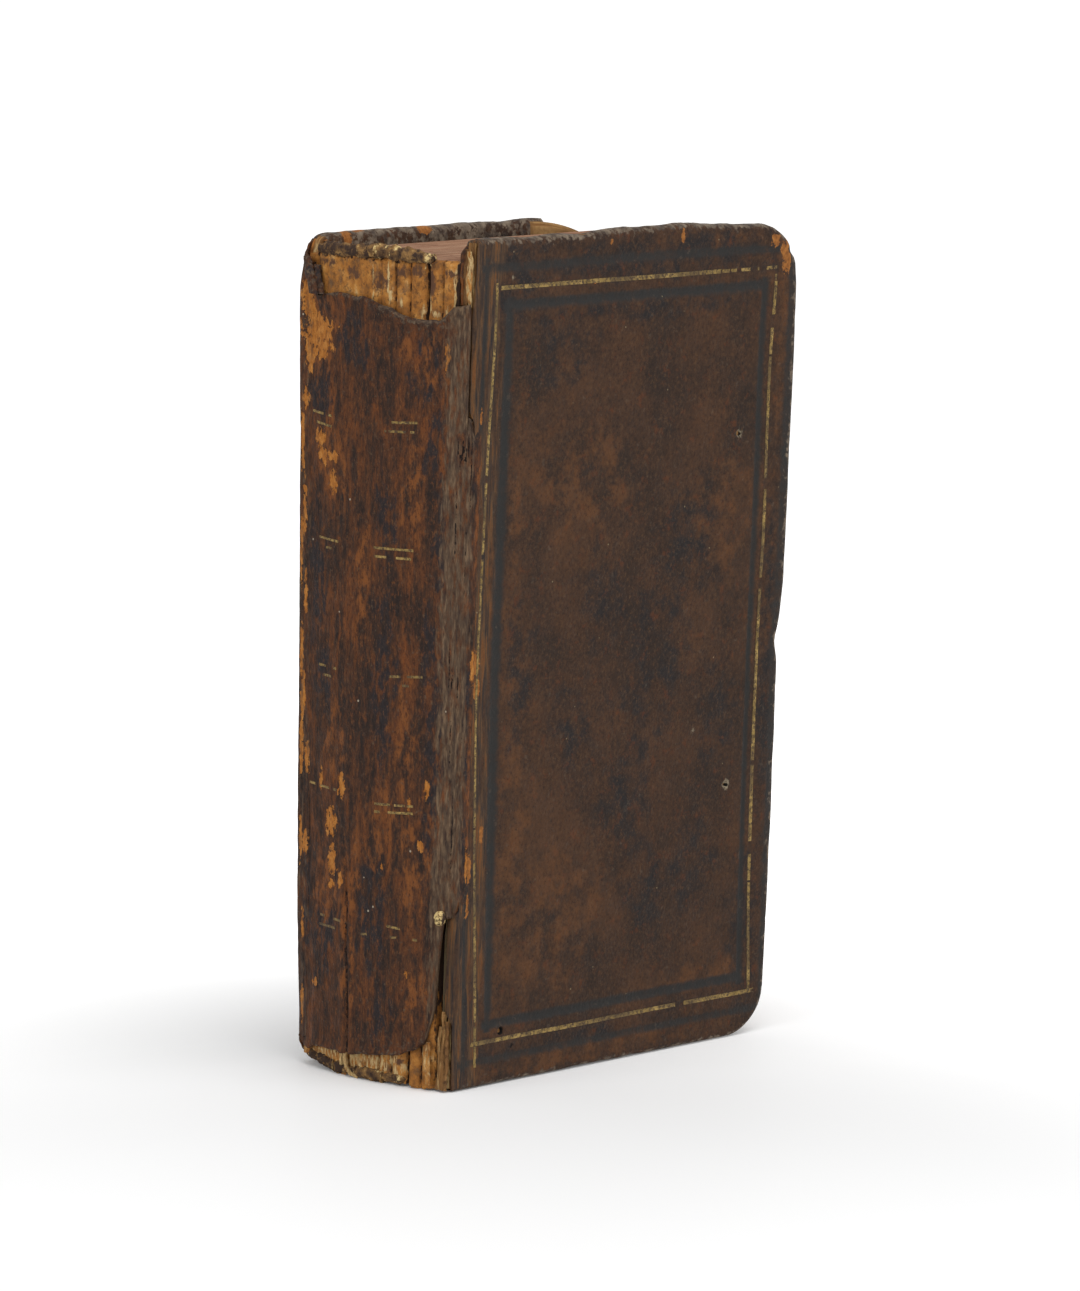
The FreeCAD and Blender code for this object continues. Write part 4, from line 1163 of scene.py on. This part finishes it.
losses = [
    (14.4, 130.8, 4.4, 3.4), (12.5, 128.0, 2.6, 2.6), (16.0, 127, 1.8, 3.0), (17.6, 119, 1.0, 2.0),
    (13.2, 112.2, 1.3, 1.6), (12.4, 109.2, 1.7, 1.3), (9.6, 109.3, 1.0, 0.9), (9.1, 44.8, 1.6, 2.6),
    (8.5, 38.3, 1.4, 2.3), (16.9, 40, 0.9, 2.2), (8.7, 33.7, 0.8, 1.0), (6.1, 34.9, 0.7, 1.2),
    (-12, 43, 0.6, 0.9), (-4.1, 38.9, 0.4, 1.0), (13.3, 15.4, 0.9, 0.8), (6.2, 51.6, 0.9, 2.6),
    (17.6, 100, 0.6, 5), (17.2, 84, 0.5, 4), (17.8, 66, 0.6, 6), (18.3, 112, 0.5, 7),
    (18.2, 74, 0.5, 5), (18.1, 57, 0.5, 5), (17.6, 11, 0.5, 4), (18.4, 92, 0.4, 6), (18.1, 40, 0.4, 5),
    (17.4, 25, 0.4, 3), (17.0, 137, 1.6, 5), (-14.4, 128.5, 0.5, 2.2), (-12.9, 53, 0.5, 1.4),
    (-9.5, 50, 0.4, 1.6), (9.5, 105, 1.0, 2.0), (16.5, 55, 0.6, 3), (12, 52, 0.5, 2), (-10, 20, 0.6, 1),
]
darks = [
    (-11.0, 128.5, 0.5, 3.0), (-12.6, 127.5, 0.45, 3.6), (-13.6, 126, 0.35, 2.6), (-9.4, 129, 0.6, 2.4),
    (-10.6, 122, 1.6, 2.2), (-7.6, 124, 1.4, 2.4), (-3.7, 71, 2.8, 16), (-3.1, 99, 2.6, 8),
    (5, 130, 4.5, 5), (-14, 60, 2, 22), (-2, 30, 4, 10), (13.4, 120, 3.4, 5.0), (-12.6, 77, 1.6, 9),
    (-12.5, 113, 2.0, 6), (14, 88, 2.5, 12), (11, 24, 3.5, 7), (-14, 100, 1.4, 14), (12, 70, 3, 6),
    (16, 30, 2, 10), (-4, 12, 3, 5),
]
warms = [
    (-12, 127, 3.2, 5), (-6.5, 129, 2.0, 3), (10, 107, 4, 9), (-11, 40, 3.5, 10), (8, 60, 3.5, 8),
    (-9, 104, 2.5, 10), (5, 22, 1.2, 16), (2.8, 22, 0.8, 14), (-4, 45, 4, 9), (3.5, 36, 3, 9),
    (10, 31, 4, 9), (-8, 62, 2, 12), (13, 130, 5, 9), (2, 88, 2, 12), (-12, 16, 3, 6),
]
islands = [
    (16.4, 133.2, 0.7, 0.8), (14.4, 129.6, 0.5, 0.6), (9.6, 132.6, 0.6, 1.0), (11.0, 126.4, 0.9, 1.6),
    (16.9, 112, 0.7, 3), (12, 124, 3, 2)
]
back_marks = {
    "loss": blots(across, up, losses, 0.35, 1.0) - 0.9 * blots(across, up, islands, 0.4, 2.0),
    "stain": blots(across, up, darks, 0.3, 2.0),
    "warm": blots(across, up, warms, 0.3, 4.0),
    "rub": (
        0.85 * soft_step(near_torn, 1.1, 0.1)
        + 0.35 * soft_step(across, 2, -3) * soft_step(near_torn, 4, 1)
    ),
    "dusty": np.maximum(
        0.95 * soft_step(across, -12.6, -15.6), 1.1 * blots(across, up, [(16.6, 14, 0.7, 2.0)], 0.3, 3.0)
    ),
    "crack": 0.62 * soft_step(np.abs(across - crease_line(up)), 0.42, 0.1) * soft_step(up, 42, 30),
}
make_piece(
    "back_calf", points, faces, spine_calf, "book_block", ["spine_leather"], back_marks
)

# %% [markdown]
# Five pairs of gold rules cross the back at the cords. They are rubbed away in the middle, where the
# book was held, and only broken dashes are left on each side.

# %% Gold rules on the back
dashes = [
    (16.0, 116.9, 10.3, 116.4), (14.4, 115.1, 10.3, 114.6), (-4.0, 116.5, -9.2, 116.8),
    (-2.5, 114.8, -8.7, 115.0), (13.7, 94.9, 8.0, 94.5), (4.1, 94.6, 2.9, 94.7),
    (11.3, 93.2, 8.8, 93.1), (-0.6, 94.3, -9.1, 94.5), (-0.9, 92.8, -9.1, 93.0),
    (13.4, 72.4, 8.0, 72.1), (11.6, 70.6, 9.4, 70.5), (-4.9, 72.2, -11.5, 72.6),
    (-4.9, 70.6, -8.9, 70.8), (15.6, 51.0, 7.5, 50.6), (-2.1, 49.4, -10.4, 49.8),
    (-2.1, 48.0, -10.4, 48.5), (12.7, 27.9, 5.6, 27.6), (12.0, 26.2, 5.6, 26.0),
    (0.6, 26.0, -1.3, 26.2), (-5.4, 28.2, -8.8, 28.0), (-6.3, 26.3, -11.9, 26.4),
]
rules = []
for number, (y_from, z_from, y_to, z_to) in enumerate(dashes):
    rules.append(ribbon((y_from, z_from), (y_to, z_to), 0.42, 50 + number, 0.22, 1.3))


def back_surface(y, z, sink):
    return back_world(y, z, back_relief(y, z) - 0.05 - sink - 0.02)


make_gold("back_gold_rules", rules, back_surface, "book_block", ["spine_gilt_rules"])

# %% [markdown]
# At each joint the leather of the back goes over to the cover in one piece; on the real book it bends
# when the cover opens. This strip follows the back at one side and the cover at the other. At the front
# joint it is cracked through at the head and the tail, so there it is shorter than the book.

# %% Leather across the joints
def make_joint_strip(name, side, z_low, z_high):
    lip_y = [15.8, 16.8, 17.7, 18.3]
    path = [tuple(back_world(np.array(v), np.array(0.0), 0.0)[:2]) for v in lip_y]
    path += [
        (-41.92, 18.75), (-41.72, 19.0), (-41.3, 19.07), (-40.6, 19.06), (-39.6, 19.03), (-39.0, 18.96)
    ]
    path = np.array(path)
    run = np.concatenate([[0], np.cumsum(np.hypot(*np.diff(path, axis=0).T))])
    u = np.linspace(0, run[-1], 30)
    px, py = np.interp(u, run, path[:, 0]), np.interp(u, run, path[:, 1])
    t = np.linspace(0, 1, int((z_high - z_low) / 0.42))
    grid_u, grid_t = np.meshgrid(u, t, indexing="ij")
    rough = np.stack([grid_u, grid_t * (z_high - z_low), grid_u * 0 + side], axis=-1)
    ends = 1.1 * ripple(np.stack([u, u * 0, u * 0 + side], axis=-1), (1.3, 1, 1), 4.0)
    top = z_high + ends - (4.6 * soft_step(u, 6.6, 0.8) if side > 0 else 0)
    low = z_low - ends + (4.4 * soft_step(u, 6.4, 0.8) if side > 0 else 0)
    z = low[:, None] + (top - low)[:, None] * grid_t
    tangent = np.stack([np.gradient(px, u), np.gradient(py, u)], axis=-1)
    normal = np.stack([-tangent[:, 1], tangent[:, 0]], axis=-1)
    edge = np.minimum(u, run[-1] - u)[:, None]
    height = 0.10 * ripple(rough, (0.8, 7, 1), 3.0, 3) + 0.05 * ripple(rough, (1, 1.5, 1), 8.0, 3)
    height = height - 0.12 * np.exp(-(((grid_u - 3.9) / 0.35) ** 2)) + 0.05
    height = height * soft_step(edge, 0, 0.6) - 0.10 * soft_step(edge, 0.4, 0)
    to_end = np.minimum(z - low[:, None], top[:, None] - z)
    if side < 0:
        height = height - 0.55 * soft_step(to_end, 4.5, 0.0)
    else:
        bulge = 0.5 * soft_step(z, 8, 30) + 0.3 * soft_step(z, 112, 136)
        height = height + bulge * np.exp(-(((grid_u - 3.4) / 1.9) ** 2)) * soft_step(to_end, 0, 6)
    waver = 0.3 * ripple(rough * [0, 1, 1], (1, 3, 1), 5.0)
    x = px[:, None] + normal[:, 0, None] * height + waver * tangent[:, 0, None] * soft_step(edge, 1.2, 0)
    yy = py[:, None] + normal[:, 1, None] * height + waver * tangent[:, 1, None] * soft_step(edge, 1.2, 0)
    under_x, under_y = x - normal[:, 0, None] * 0.4, yy - normal[:, 1, None] * 0.4
    outer = np.stack([x, side * yy, z], axis=-1)
    inner = np.stack([under_x, side * under_y, z], axis=-1)
    index = np.arange(x.size).reshape(x.shape)
    points, faces = thicken(outer, inner, grid_faces(index))
    uu, zz = np.tile(grid_u.reshape(-1), 2), np.tile(z.reshape(-1), 2)
    cracks = [
        (1.2, 60, 0.08, 12), (2.9, 92, 0.08, 8), (2.2, 45, 0.1, 8), (1.0, 100, 0.08, 9),
        (3.6, 110, 0.16, 9), (2.0, 113, 0.16, 2.2), (2.5, 111.5, 0.14, 1.6), (1.6, 110.5, 0.14, 2.0),
        (3.0, 113, 0.14, 1.4), (1.1, 113, 0.1, 1.2), (0.7, 75, 0.14, 3.2), (1.2, 72.5, 0.12, 2.0),
        (2.4, 71, 0.1, 2.4), (3.5, 62, 0.08, 10), (1.8, 84, 0.08, 3),
    ]
    if side > 0:
        cracks = [(3.4, 80, 0.12, 30)]
    along = side * (15.8 + uu)
    marks = {
        "loss": np.maximum(
            blots(along, zz, losses, 0.35, 1.0),
            blots(uu, zz, [(5.4, 75, 0.6, 3.0), (5.6, 40, 0.5, 2.5)], 0.3, 1.0)
        ),
        "stain": np.maximum(
            blots(along, zz, darks, 0.3, 2.0),
            0.8 * blots(uu, zz, [(4.2, 60, 0.8, 30), (4.2, 110, 0.8, 12)], 0.3, 2.0)
        ),
        "warm": blots(uu, zz, [(5.6, 60, 0.8, 26), (5.6, 100, 0.8, 14)], 0.3, 3.0),
        "rub": soft_step(np.minimum(z_high - zz, zz - z_low), 1.0, 0.0),
        "dusty": (0.95 - 0.3 * soft_step(zz, 95, 125) if side < 0 else 0.35) * soft_step(uu, 5.4, 3.4),
        "crack": blots(uu, zz, cracks, 0.3, 4.0),
    }
    strip = make_piece(name, points, faces, spine_calf, None, (), marks)
    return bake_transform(strip)


make_joint_strip("front_joint_calf", -1, 31.0, 118.0)
make_joint_strip("back_joint_calf", 1, 1.2, 147.0)

# %% [markdown]
# ## Cords, bands and torn scraps
# Cords and threads are tubes along a path. A real cord is laid from strands, so the tube's radius rises
# and falls round it while the strands turn along it, which gives a true rope shape in the mesh.

# %% Helpers for cords and straps
def smooth_path(points, count):
    points = np.array(points, float)
    run = np.concatenate([[0], np.cumsum(np.linalg.norm(np.diff(points, axis=0), axis=1))])
    t = np.linspace(0, run[-1], count)
    path = np.stack([np.interp(t, run, points[:, k]) for k in range(3)], axis=-1)
    for _ in range(max(2, count // 8)):
        path[1:-1] = (path[:-2] + 2 * path[1:-1] + path[2:]) / 4
    return path


def tube(path, radius, around=14, strands=0, turns=0.0, depth=0.14, rag=0.0, shift=0.0):
    """Points and faces of a closed tube, laid from strands if there are any."""
    path = np.asarray(path, float)
    tangent = np.gradient(path, axis=0)
    tangent /= np.linalg.norm(tangent, axis=1, keepdims=True)
    hint = np.array([0, 0, 1.0]) if abs(tangent[:, 2]).mean() < 0.7 else np.array([1.0, 0, 0])
    side = np.cross(tangent, hint)
    side /= np.linalg.norm(side, axis=1, keepdims=True)
    up = np.cross(side, tangent)
    angle = np.linspace(0, 2 * math.pi, around, endpoint=False)
    run = np.linspace(0, 1, len(path))
    size = np.asarray(radius) * np.ones(len(path))
    ring = size[:, None] * np.ones(around)
    if strands:
        twist = np.cos(strands * angle / 2 + turns * run[:, None] * math.pi)
        ring = ring * (1 - depth + depth * np.abs(twist))
    outward = np.cos(angle)[:, None] * side[:, None] + np.sin(angle)[:, None] * up[:, None]
    points = path[:, None] + ring[..., None] * outward
    if rag:
        bump = 1 + rag * ripple(points, (1.1, 1.1, 1.1), shift, 3)
        points = path[:, None] + (points - path[:, None]) * bump[..., None]
    index = np.arange(points.shape[0] * around).reshape(-1, around)
    wall = grid_faces(np.hstack([index, index[:, :1]]))
    caps = []
    for ends in (index[0], index[-1][::-1]):
        caps += [
            [ends[k], ends[k + 1], ends[around - 2 - k], ends[around - 1 - k]]
            for k in range(around // 2 - 1)
        ]
    return points.reshape(-1, 3), np.concatenate([wall, np.array(caps)])


def join(parts):
    """Several closed shapes as one set of points and faces."""
    points, faces, count = [], [], 0
    for p, f in parts:
        points.append(p)
        faces.append(f + count)
        count += len(p)
    return np.concatenate(points), np.concatenate(faces)


def strap(path, across, half_width, thick, bow=0.0, count=9, rag=0.0, shift=0.0):
    """A narrow torn strip along a path; across is its width's direction, bow arches it."""
    path = np.asarray(path, float)
    across = np.array(across, float) / np.linalg.norm(across)
    tangent = np.gradient(path, axis=0)
    normal = np.cross(tangent, across)
    normal /= np.linalg.norm(normal, axis=1, keepdims=True)
    w = np.linspace(-1, 1, count)
    half = np.asarray(half_width) * np.ones(len(path))
    points = path[:, None] + (w[None, :, None] * half[:, None, None]) * across
    points = points + bow * (1 - w**2)[None, :, None] * normal[:, None]
    uneven = rag * ripple(points, (1.0, 1.0, 1.6), shift, 3)[..., None] * normal[:, None]
    edge = rag * ripple(points, (0.8, 0.8, 0.8), shift + 4, 3)[..., None]
    edge = edge * np.abs(w)[None, :, None] ** 3 * across
    points = points + uneven + edge
    index = np.arange(points.shape[0] * count).reshape(-1, count)
    return thicken(points, points - thick * normal[:, None], grid_faces(index))


# %% [markdown]
# Five cords run in grooves across the folds and their ends are laced into both boards. On the real book
# they are hidden under the leather; only in the front joint does a worn end stick out, as a small cream
# knob.

# %% Sewing cords and laced ends
CORDS = [28.3 + 22.15 * k for k in range(5)]


def cord_end_marks(points):
    return {"pale": np.zeros(len(points)), "shade": np.zeros(len(points))}


for number, height in enumerate(CORDS, 1):
    fan = np.linspace(-15.0, 15.0, 70)
    path = np.stack([fold_x(fan) + 1.15, fan, fan * 0 + height], axis=-1)
    points, faces = tube(path, 0.95, 12, 3, 14.0)
    make_piece(
        f"cord_{number}", points, faces, hemp, "book_block", [f"sewing_cord_{number}"],
        cord_end_marks(points)
    )

for name, side, body in (("front", -1, "front_cover"), ("back", 1, "back_cover")):
    ends = []
    for height in CORDS:
        fan = np.linspace(0, 1, 30)
        path = np.stack(
            [JOINT + 1.2 + 8.6 * fan, side * (HALF - 1.9 - 0.2 * fan), height + 0.5 * fan], axis=-1
        )
        ends.append(tube(path, 0.42 * (1 - 0.4 * fan), 10, 3, 5.0))
    points, faces = join(ends)
    make_piece(
        f"{name}_laced_ends", points, faces, hemp, body, [f"{name}_cord_slips"],
        cord_end_marks(points)
    )

knob_path = smooth_path([(-42.75, -16.2, 29.5), (-43.15, -16.35, 30.7), (-42.75, -16.3, 32.0)], 24)
knob_size = 1.15 * np.sqrt(np.clip(1 - np.linspace(-0.98, 0.98, 24) ** 2, 0, 1))
points, faces = tube(knob_path, knob_size, 20, 5, 0.6, 0.30, 0.15, 2.0)
knob_marks = {"pale": np.ones(len(points)) * 1.05, "shade": 1.2 * soft_step(points[:, 1], -16.9, -17.4)}
make_piece("joint_cord_knob", points, faces, hemp, "book_block", (), knob_marks)

# %% [markdown]
# The endbands have lost their silk. What is left at the head is a brown core with a few pale tie-down
# threads and a frayed end; at the tail it is a tan roll that has sunk towards the shelf.

# %% Endbands
def make_endband(name, node, z, y_from, y_to, size, shift, sway, loops, frays):
    fan = np.linspace(y_from, y_to, 190)
    spot = np.stack([fan, fan * 0, fan * 0], axis=-1)
    rise = 0.16 * ripple(spot, (4, 1, 1), shift) + np.interp(-fan, *sway)
    path = np.stack([fold_x(fan) + 0.75, fan, fan * 0 + z + rise], axis=-1)
    taper = np.clip(1.15 * np.sqrt(np.clip(1 - np.abs(np.linspace(-1, 1, 190)) ** 9, 0, 1)), 0.15, 1)
    radius = size * taper * (1 + 0.26 * ripple(spot, (1.3, 1, 1), shift + 2, 3))
    parts = [tube(path, radius, 22, 5, 11.0, 0.13, 0.34, shift)]
    for at, wide in loops:
        turn = np.linspace(-0.5, 2 * math.pi - 0.9, 40)
        centre = np.array([fold_x(np.array(at)) + 0.75, at, z + np.interp(-at, -fan, rise)])
        drift = at + wide * np.linspace(-0.5, 0.5, 40)
        loop = np.stack(
            [centre[0] + 1.06 * size * np.cos(turn), drift, centre[2] + 1.06 * size * np.sin(turn)],
            axis=-1
        )
        parts.append(tube(loop, 0.10 + 0.04 * np.cos(np.linspace(-1.5, 1.5, 40)), 8))
    for bend in frays:
        parts.append(tube(smooth_path(bend, 20), np.linspace(0.2, 0.08, 20), 8, 2, 3.0))
    points, faces = join(parts)
    core = parts[0][0]
    threads = np.full(len(points) - len(core), 0.6)
    clean = [(0.6, z + 1.1, 0.5, 0.7), (-3.6, z + 1.2, 0.7, 0.6), (-1.4, z + 1.4, 0.4, 0.5)]
    clean.append((y_to + 1.0, z - 0.1, 0.6, 1.3))
    glued = [(12, z, 3, 2), (6, z, 1.6, 2), (2.6, z, 0.5, 2), (-7.5, z, 0.6, 1)]
    pale = np.concatenate([blots(core[:, 1], core[:, 2], clean, 0.5, shift), threads])
    shade = np.concatenate([blots(core[:, 1], core[:, 2], glued, 0.8, shift + 3), threads * 0])
    marks = {"pale": pale, "shade": shade * 0.8}
    return make_piece(name, points, faces, hemp, "book_block", [node], marks)


head_frays = [
    [(-43.2, -10.2, 145.6), (-44.3, -10.8, 145.2), (-44.4, -11.2, 144.0)],
    [(-43.2, -10.0, 145.4), (-44.4, -10.2, 144.6), (-44.5, -10.0, 143.4)],
    [(-43.0, -10.4, 145.9), (-43.6, -11.4, 146.0), (-43.9, -11.9, 145.0)],
    [(-43.4, 0.4, 146.2), (-44.6, 0.2, 146.0), (-45.0, 0.5, 144.9)],
]
head_loops = [(4.6, 0.2), (0.9, 0.3), (0.3, -0.2), (-2.6, 0.3)]
head_sway = ([-15.6, -9, -5, 1, 4, 8, 10.8], [0.0, 0.05, 0.25, 0.5, 0.3, -0.1, -0.4])
make_endband("head_band", "head_endband", 145.4, 15.6, -10.8, 1.2, 3.0, head_sway, head_loops, head_frays)
tail_frays = [
    [(-43.4, -7.0, 0.9), (-44.2, -8.2, 0.8), (-43.9, -9.6, 0.7)],
    [(-43.6, 6.0, 1.2), (-44.8, 4.5, 1.0), (-44.8, 2.8, 0.6)]
]
tail_loops = [(8.0, -0.4), (2.0, 0.4), (-4.6, 0.5)]
tail_sway = ([-15.9, -13, -8, 9.4], [1.4, 0.5, 0.0, 0.0])
make_endband("tail_band", "tail_endband", 1.3, 15.9, -9.4, 1.1, 8.0, tail_sway, tail_loops, tail_frays)

# %% [markdown]
# Small scraps make the torn ends believable. At the head there are folds of dark leather by the back
# joint, and cream and olive strips of paper and a roll of turned-in leather on the front board's edge.
# At the tail the front board is split into three layers, and strips of paper hang from the folds.
# Apart from the roll, each is a thin, bowed strap.

# %% Torn scraps
def scrap(name, shape, finish, body, marks):
    points, faces = shape
    filled = {mark: np.full(len(points), value) for mark, value in marks.items()}
    return make_piece(name, points, faces, finish, body, (), filled)


dark = {"loss": 0.0, "stain": 0.8, "warm": 0.0, "rub": 0.55, "dusty": 0.0, "crack": 0.0}
fold_path = smooth_path(
    [(-44.6, 14.6, 137.6), (-44.2, 15.4, 139.4), (-43.9, 16.2, 141.6), (-43.3, 17.2, 143.9)], 40
)
scrap(
    "head_leather_fold",
    strap(fold_path, (0.5, 0.85, 0.0), np.linspace(1.5, 1.2, 40), 0.45, 0.45, 13, 0.45, 1.0), spine_calf,
    "book_block", dark
)
inner_path = smooth_path([(-44.35, 13.4, 137.6), (-44.15, 13.9, 140.0), (-43.9, 14.5, 142.6)], 30)
scrap(
    "head_leather_scrap",
    strap(inner_path, (0.3, 0.95, 0.0), np.linspace(0.9, 0.6, 30), 0.4, 0.3, 9, 0.4, 3.0), spine_calf,
    "book_block", dark
)

cream = {"pale": 1.3, "shade": 0.0}
olive = {"pale": 0.1, "shade": 0.25}
strip_z = np.linspace(137.2, 146.9, 46)
curl = 0.9 * soft_step(strip_z, 144.6, 147.0)
strip_x = JOINT - 0.05 - 0.25 * np.sin((strip_z - 137) / 3.0) - curl
strip_y = -17.55 + 0.25 * np.sin((strip_z - 137) / 2.6)
strip_path = np.stack([strip_x, strip_y, strip_z], axis=-1)
strip_half = 0.62 * np.clip(1.25 - np.abs(strip_z - 142.5) / 6.5, 0.25, 1)
scrap(
    "front_cream_strip", strap(strip_path, (0, 1, 0), strip_half, 0.3, 0.22, 9, 0.15, 2.0), folds,
    "front_cover", {"pale": 0.85, "shade": 0.2}
)
olive_z = np.linspace(136.6, 147.2, 46)
olive_path = np.stack(
    [JOINT + 0.1 - 0.15 * np.sin(olive_z / 2.2), -16.3 + 0.15 * np.sin(olive_z / 1.9), olive_z], axis=-1
)
scrap(
    "front_olive_strip", strap(olive_path, (0, 1, 0), 0.38, 0.3, 0.12, 7, 0.15, 5.0), board_finish,
    "front_cover", olive
)

for number, (layer_y, top) in enumerate([(-16.2, 11.5), (-17.0, 14.2), (-17.8, 12.6)], 1):
    layer_z = np.linspace(0.4, top, 44)
    sway_x = -0.42 + 0.12 * np.sin(layer_z * 1.1 + number) - 0.35 * soft_step(layer_z, 2.6, 0.6)
    sway_y = layer_y + 0.12 * np.sin(layer_z * 0.8 + 2 * number)
    layer_path = np.stack([JOINT + sway_x, sway_y, layer_z], axis=-1)
    layer = strap(layer_path, (0, 1, 0), 0.52 - 0.02 * layer_z, 0.35, 0.16, 7, 0.22, 9.0 + number)
    layer_marks = {"pale": 0.8 - 0.3 * number, "shade": 0.15 * number}
    scrap(f"front_tail_layer_{number}", layer, board_finish, "front_cover", layer_marks)

warm = {"loss": 0.0, "stain": 0.0, "warm": 1.2, "rub": 0.3, "dusty": 0.0, "crack": 0.0}
roll_path = smooth_path(
    [
        (JOINT + 0.35, -15.65, 137.5), (JOINT + 0.2, -15.6, 143.0), (JOINT + 0.25, -15.7, 146.6),
        (JOINT + 0.9, -16.3, 147.4)
    ],
    40
)
scrap(
    "front_head_turn_in", tube(roll_path, np.linspace(0.3, 0.55, 40), 12, 0, 0, 0, 0.3, 4.0), spine_calf,
    "front_cover", warm
)

hook_path = smooth_path(
    [(-44.75, 4.3, 5.4), (-44.85, 4.2, 3.6), (-44.9, 3.9, 2.0), (-44.9, 3.2, 0.9), (-44.7, 1.6, 0.5)], 44
)
scrap(
    "tail_paper_hook",
    strap(hook_path, (0.25, 0.9, 0.35), np.linspace(0.55, 0.4, 44), 0.4, 0.3, 9, 0.2, 6.0), folds,
    "book_block", cream
)
second_path = smooth_path([(-44.55, 5.3, 5.4), (-44.7, 5.2, 3.4), (-44.7, 5.3, 1.9)], 30)
scrap(
    "tail_paper_strip", strap(second_path, (0.2, 1, 0), 0.35, 0.4, 0.2, 7, 0.2, 7.0), folds, "book_block",
    cream
)
tongue_path = smooth_path([(-43.2, -14.4, 8.6), (-43.35, -14.6, 5.0), (-43.2, -15.0, 1.2)], 30)
scrap(
    "tail_paper_tongue",
    strap(tongue_path, (0.3, 1, 0), np.linspace(0.9, 0.6, 30), 0.35, 0.25, 9, 0.25, 8.0), folds,
    "book_block", {"pale": 0.5, "shade": 0.0}
)

# %% [markdown]
# ## Camera, floor and light
# The camera stands where the photographer's did, about 1.3 m away and a little above the book, with a
# long lens. The book is lit by a broad soft light from above and both sides, on a white floor that
# keeps only a faint shadow.

# %% Camera
CAMERA_PLACE = (-989.0, -837.3, 247.6)
YAW, PITCH, ROLL = -49.773, 7.669, 1.321
LONG_LENS = 203.6


def aim(yaw, pitch, roll):
    a, e, r = (math.radians(v) for v in (yaw, pitch, roll))
    back = Vector((math.sin(a) * math.cos(e), -math.cos(a) * math.cos(e), math.sin(e)))
    right = Vector((0, 0, 1)).cross(back).normalized()
    up = back.cross(right)
    right, up = right * math.cos(r) + up * math.sin(r), up * math.cos(r) - right * math.sin(r)
    return Matrix((right, up, back)).transposed()


camera = bpy.data.objects.new("camera", bpy.data.cameras.new("camera"))
bpy.context.collection.objects.link(camera)
camera.location = Vector(CAMERA_PLACE) * MM
camera.rotation_euler = aim(YAW, PITCH, ROLL).to_euler()
camera.data.lens = LONG_LENS
camera.data.clip_start = 0.05
bpy.context.scene.camera = camera

# %% Floor and light
floor_mesh = bpy.data.meshes.new("floor")
reach = 4.0
floor_mesh.from_pydata(
    [(-reach, -reach, 0), (reach, -reach, 0), (reach, reach, 0), (-reach, reach, 0)], [], [(0, 1, 2, 3)]
)
floor = bpy.data.objects.new("floor", floor_mesh)
bpy.context.collection.objects.link(floor)

white = Finish("white_floor")
seen = white.add("ShaderNodeLightPath").outputs["Is Camera Ray"]
white.shader.inputs["Base Color"].default_value = (0.86, 0.86, 0.86, 1)
white.shader.inputs["Roughness"].default_value = 0.5
white.shader.inputs["Specular IOR Level"].default_value = 0.1
white.shader.inputs["Emission Color"].default_value = (1, 1, 1, 1)
ahead = white.add(
    "ShaderNodeVectorMath", {0: white.place, 1: (0.15, 0.13, 0)}, operation="ADD"
).outputs[0]
far = white.add("ShaderNodeVectorMath", {0: ahead}, operation="LENGTH").outputs["Value"]
near = white.add("ShaderNodeVectorMath", {0: white.place}, operation="LENGTH").outputs["Value"]
glow = white.sum(white.between(near, 0.05, 0.2, 0.0, 0.08), white.between(far, 0.12, 0.38, 0.0, 0.54))
white.tree.links.new(white.sum(glow, seen, "MULTIPLY"), white.shader.inputs["Emission Strength"])
floor_mesh.materials.append(white.material)

world = bpy.data.worlds.new("studio")
bpy.context.scene.world = world
world.use_nodes = True
studio = world.node_tree
sky = studio.nodes["Background"]
sky.inputs["Color"].default_value = (1, 1, 1, 1)
sky.inputs["Strength"].default_value = 0.52
plain = studio.nodes.new("ShaderNodeBackground")
plain.inputs["Strength"].default_value = 1.0
path = studio.nodes.new("ShaderNodeLightPath")
choose = studio.nodes.new("ShaderNodeMixShader")
studio.links.new(path.outputs["Is Camera Ray"], choose.inputs[0])
studio.links.new(sky.outputs[0], choose.inputs[1])
studio.links.new(plain.outputs[0], choose.inputs[2])
studio.links.new(choose.outputs[0], studio.nodes["World Output"].inputs["Surface"])


def lamp(name, place, target, size, watts):
    data = bpy.data.lights.new(name, "AREA")
    data.size = size
    data.energy = watts
    light = bpy.data.objects.new(name, data)
    bpy.context.collection.objects.link(light)
    light.location = place
    light.rotation_euler = (Vector(place) - Vector(target)).to_track_quat("Z", "Y").to_euler()
    return light


middle = (0, 0, 0.07)
lamp("soft_top", (-0.2, -0.4, 1.2), middle, 0.9, 8.5)
lamp("soft_left", (-1.3, 0.1, 0.6), middle, 0.8, 5.0)
lamp("soft_right", (0.5, -1.3, 0.6), middle, 0.8, 5.0)
bpy.context.scene.view_settings.view_transform = "Standard"
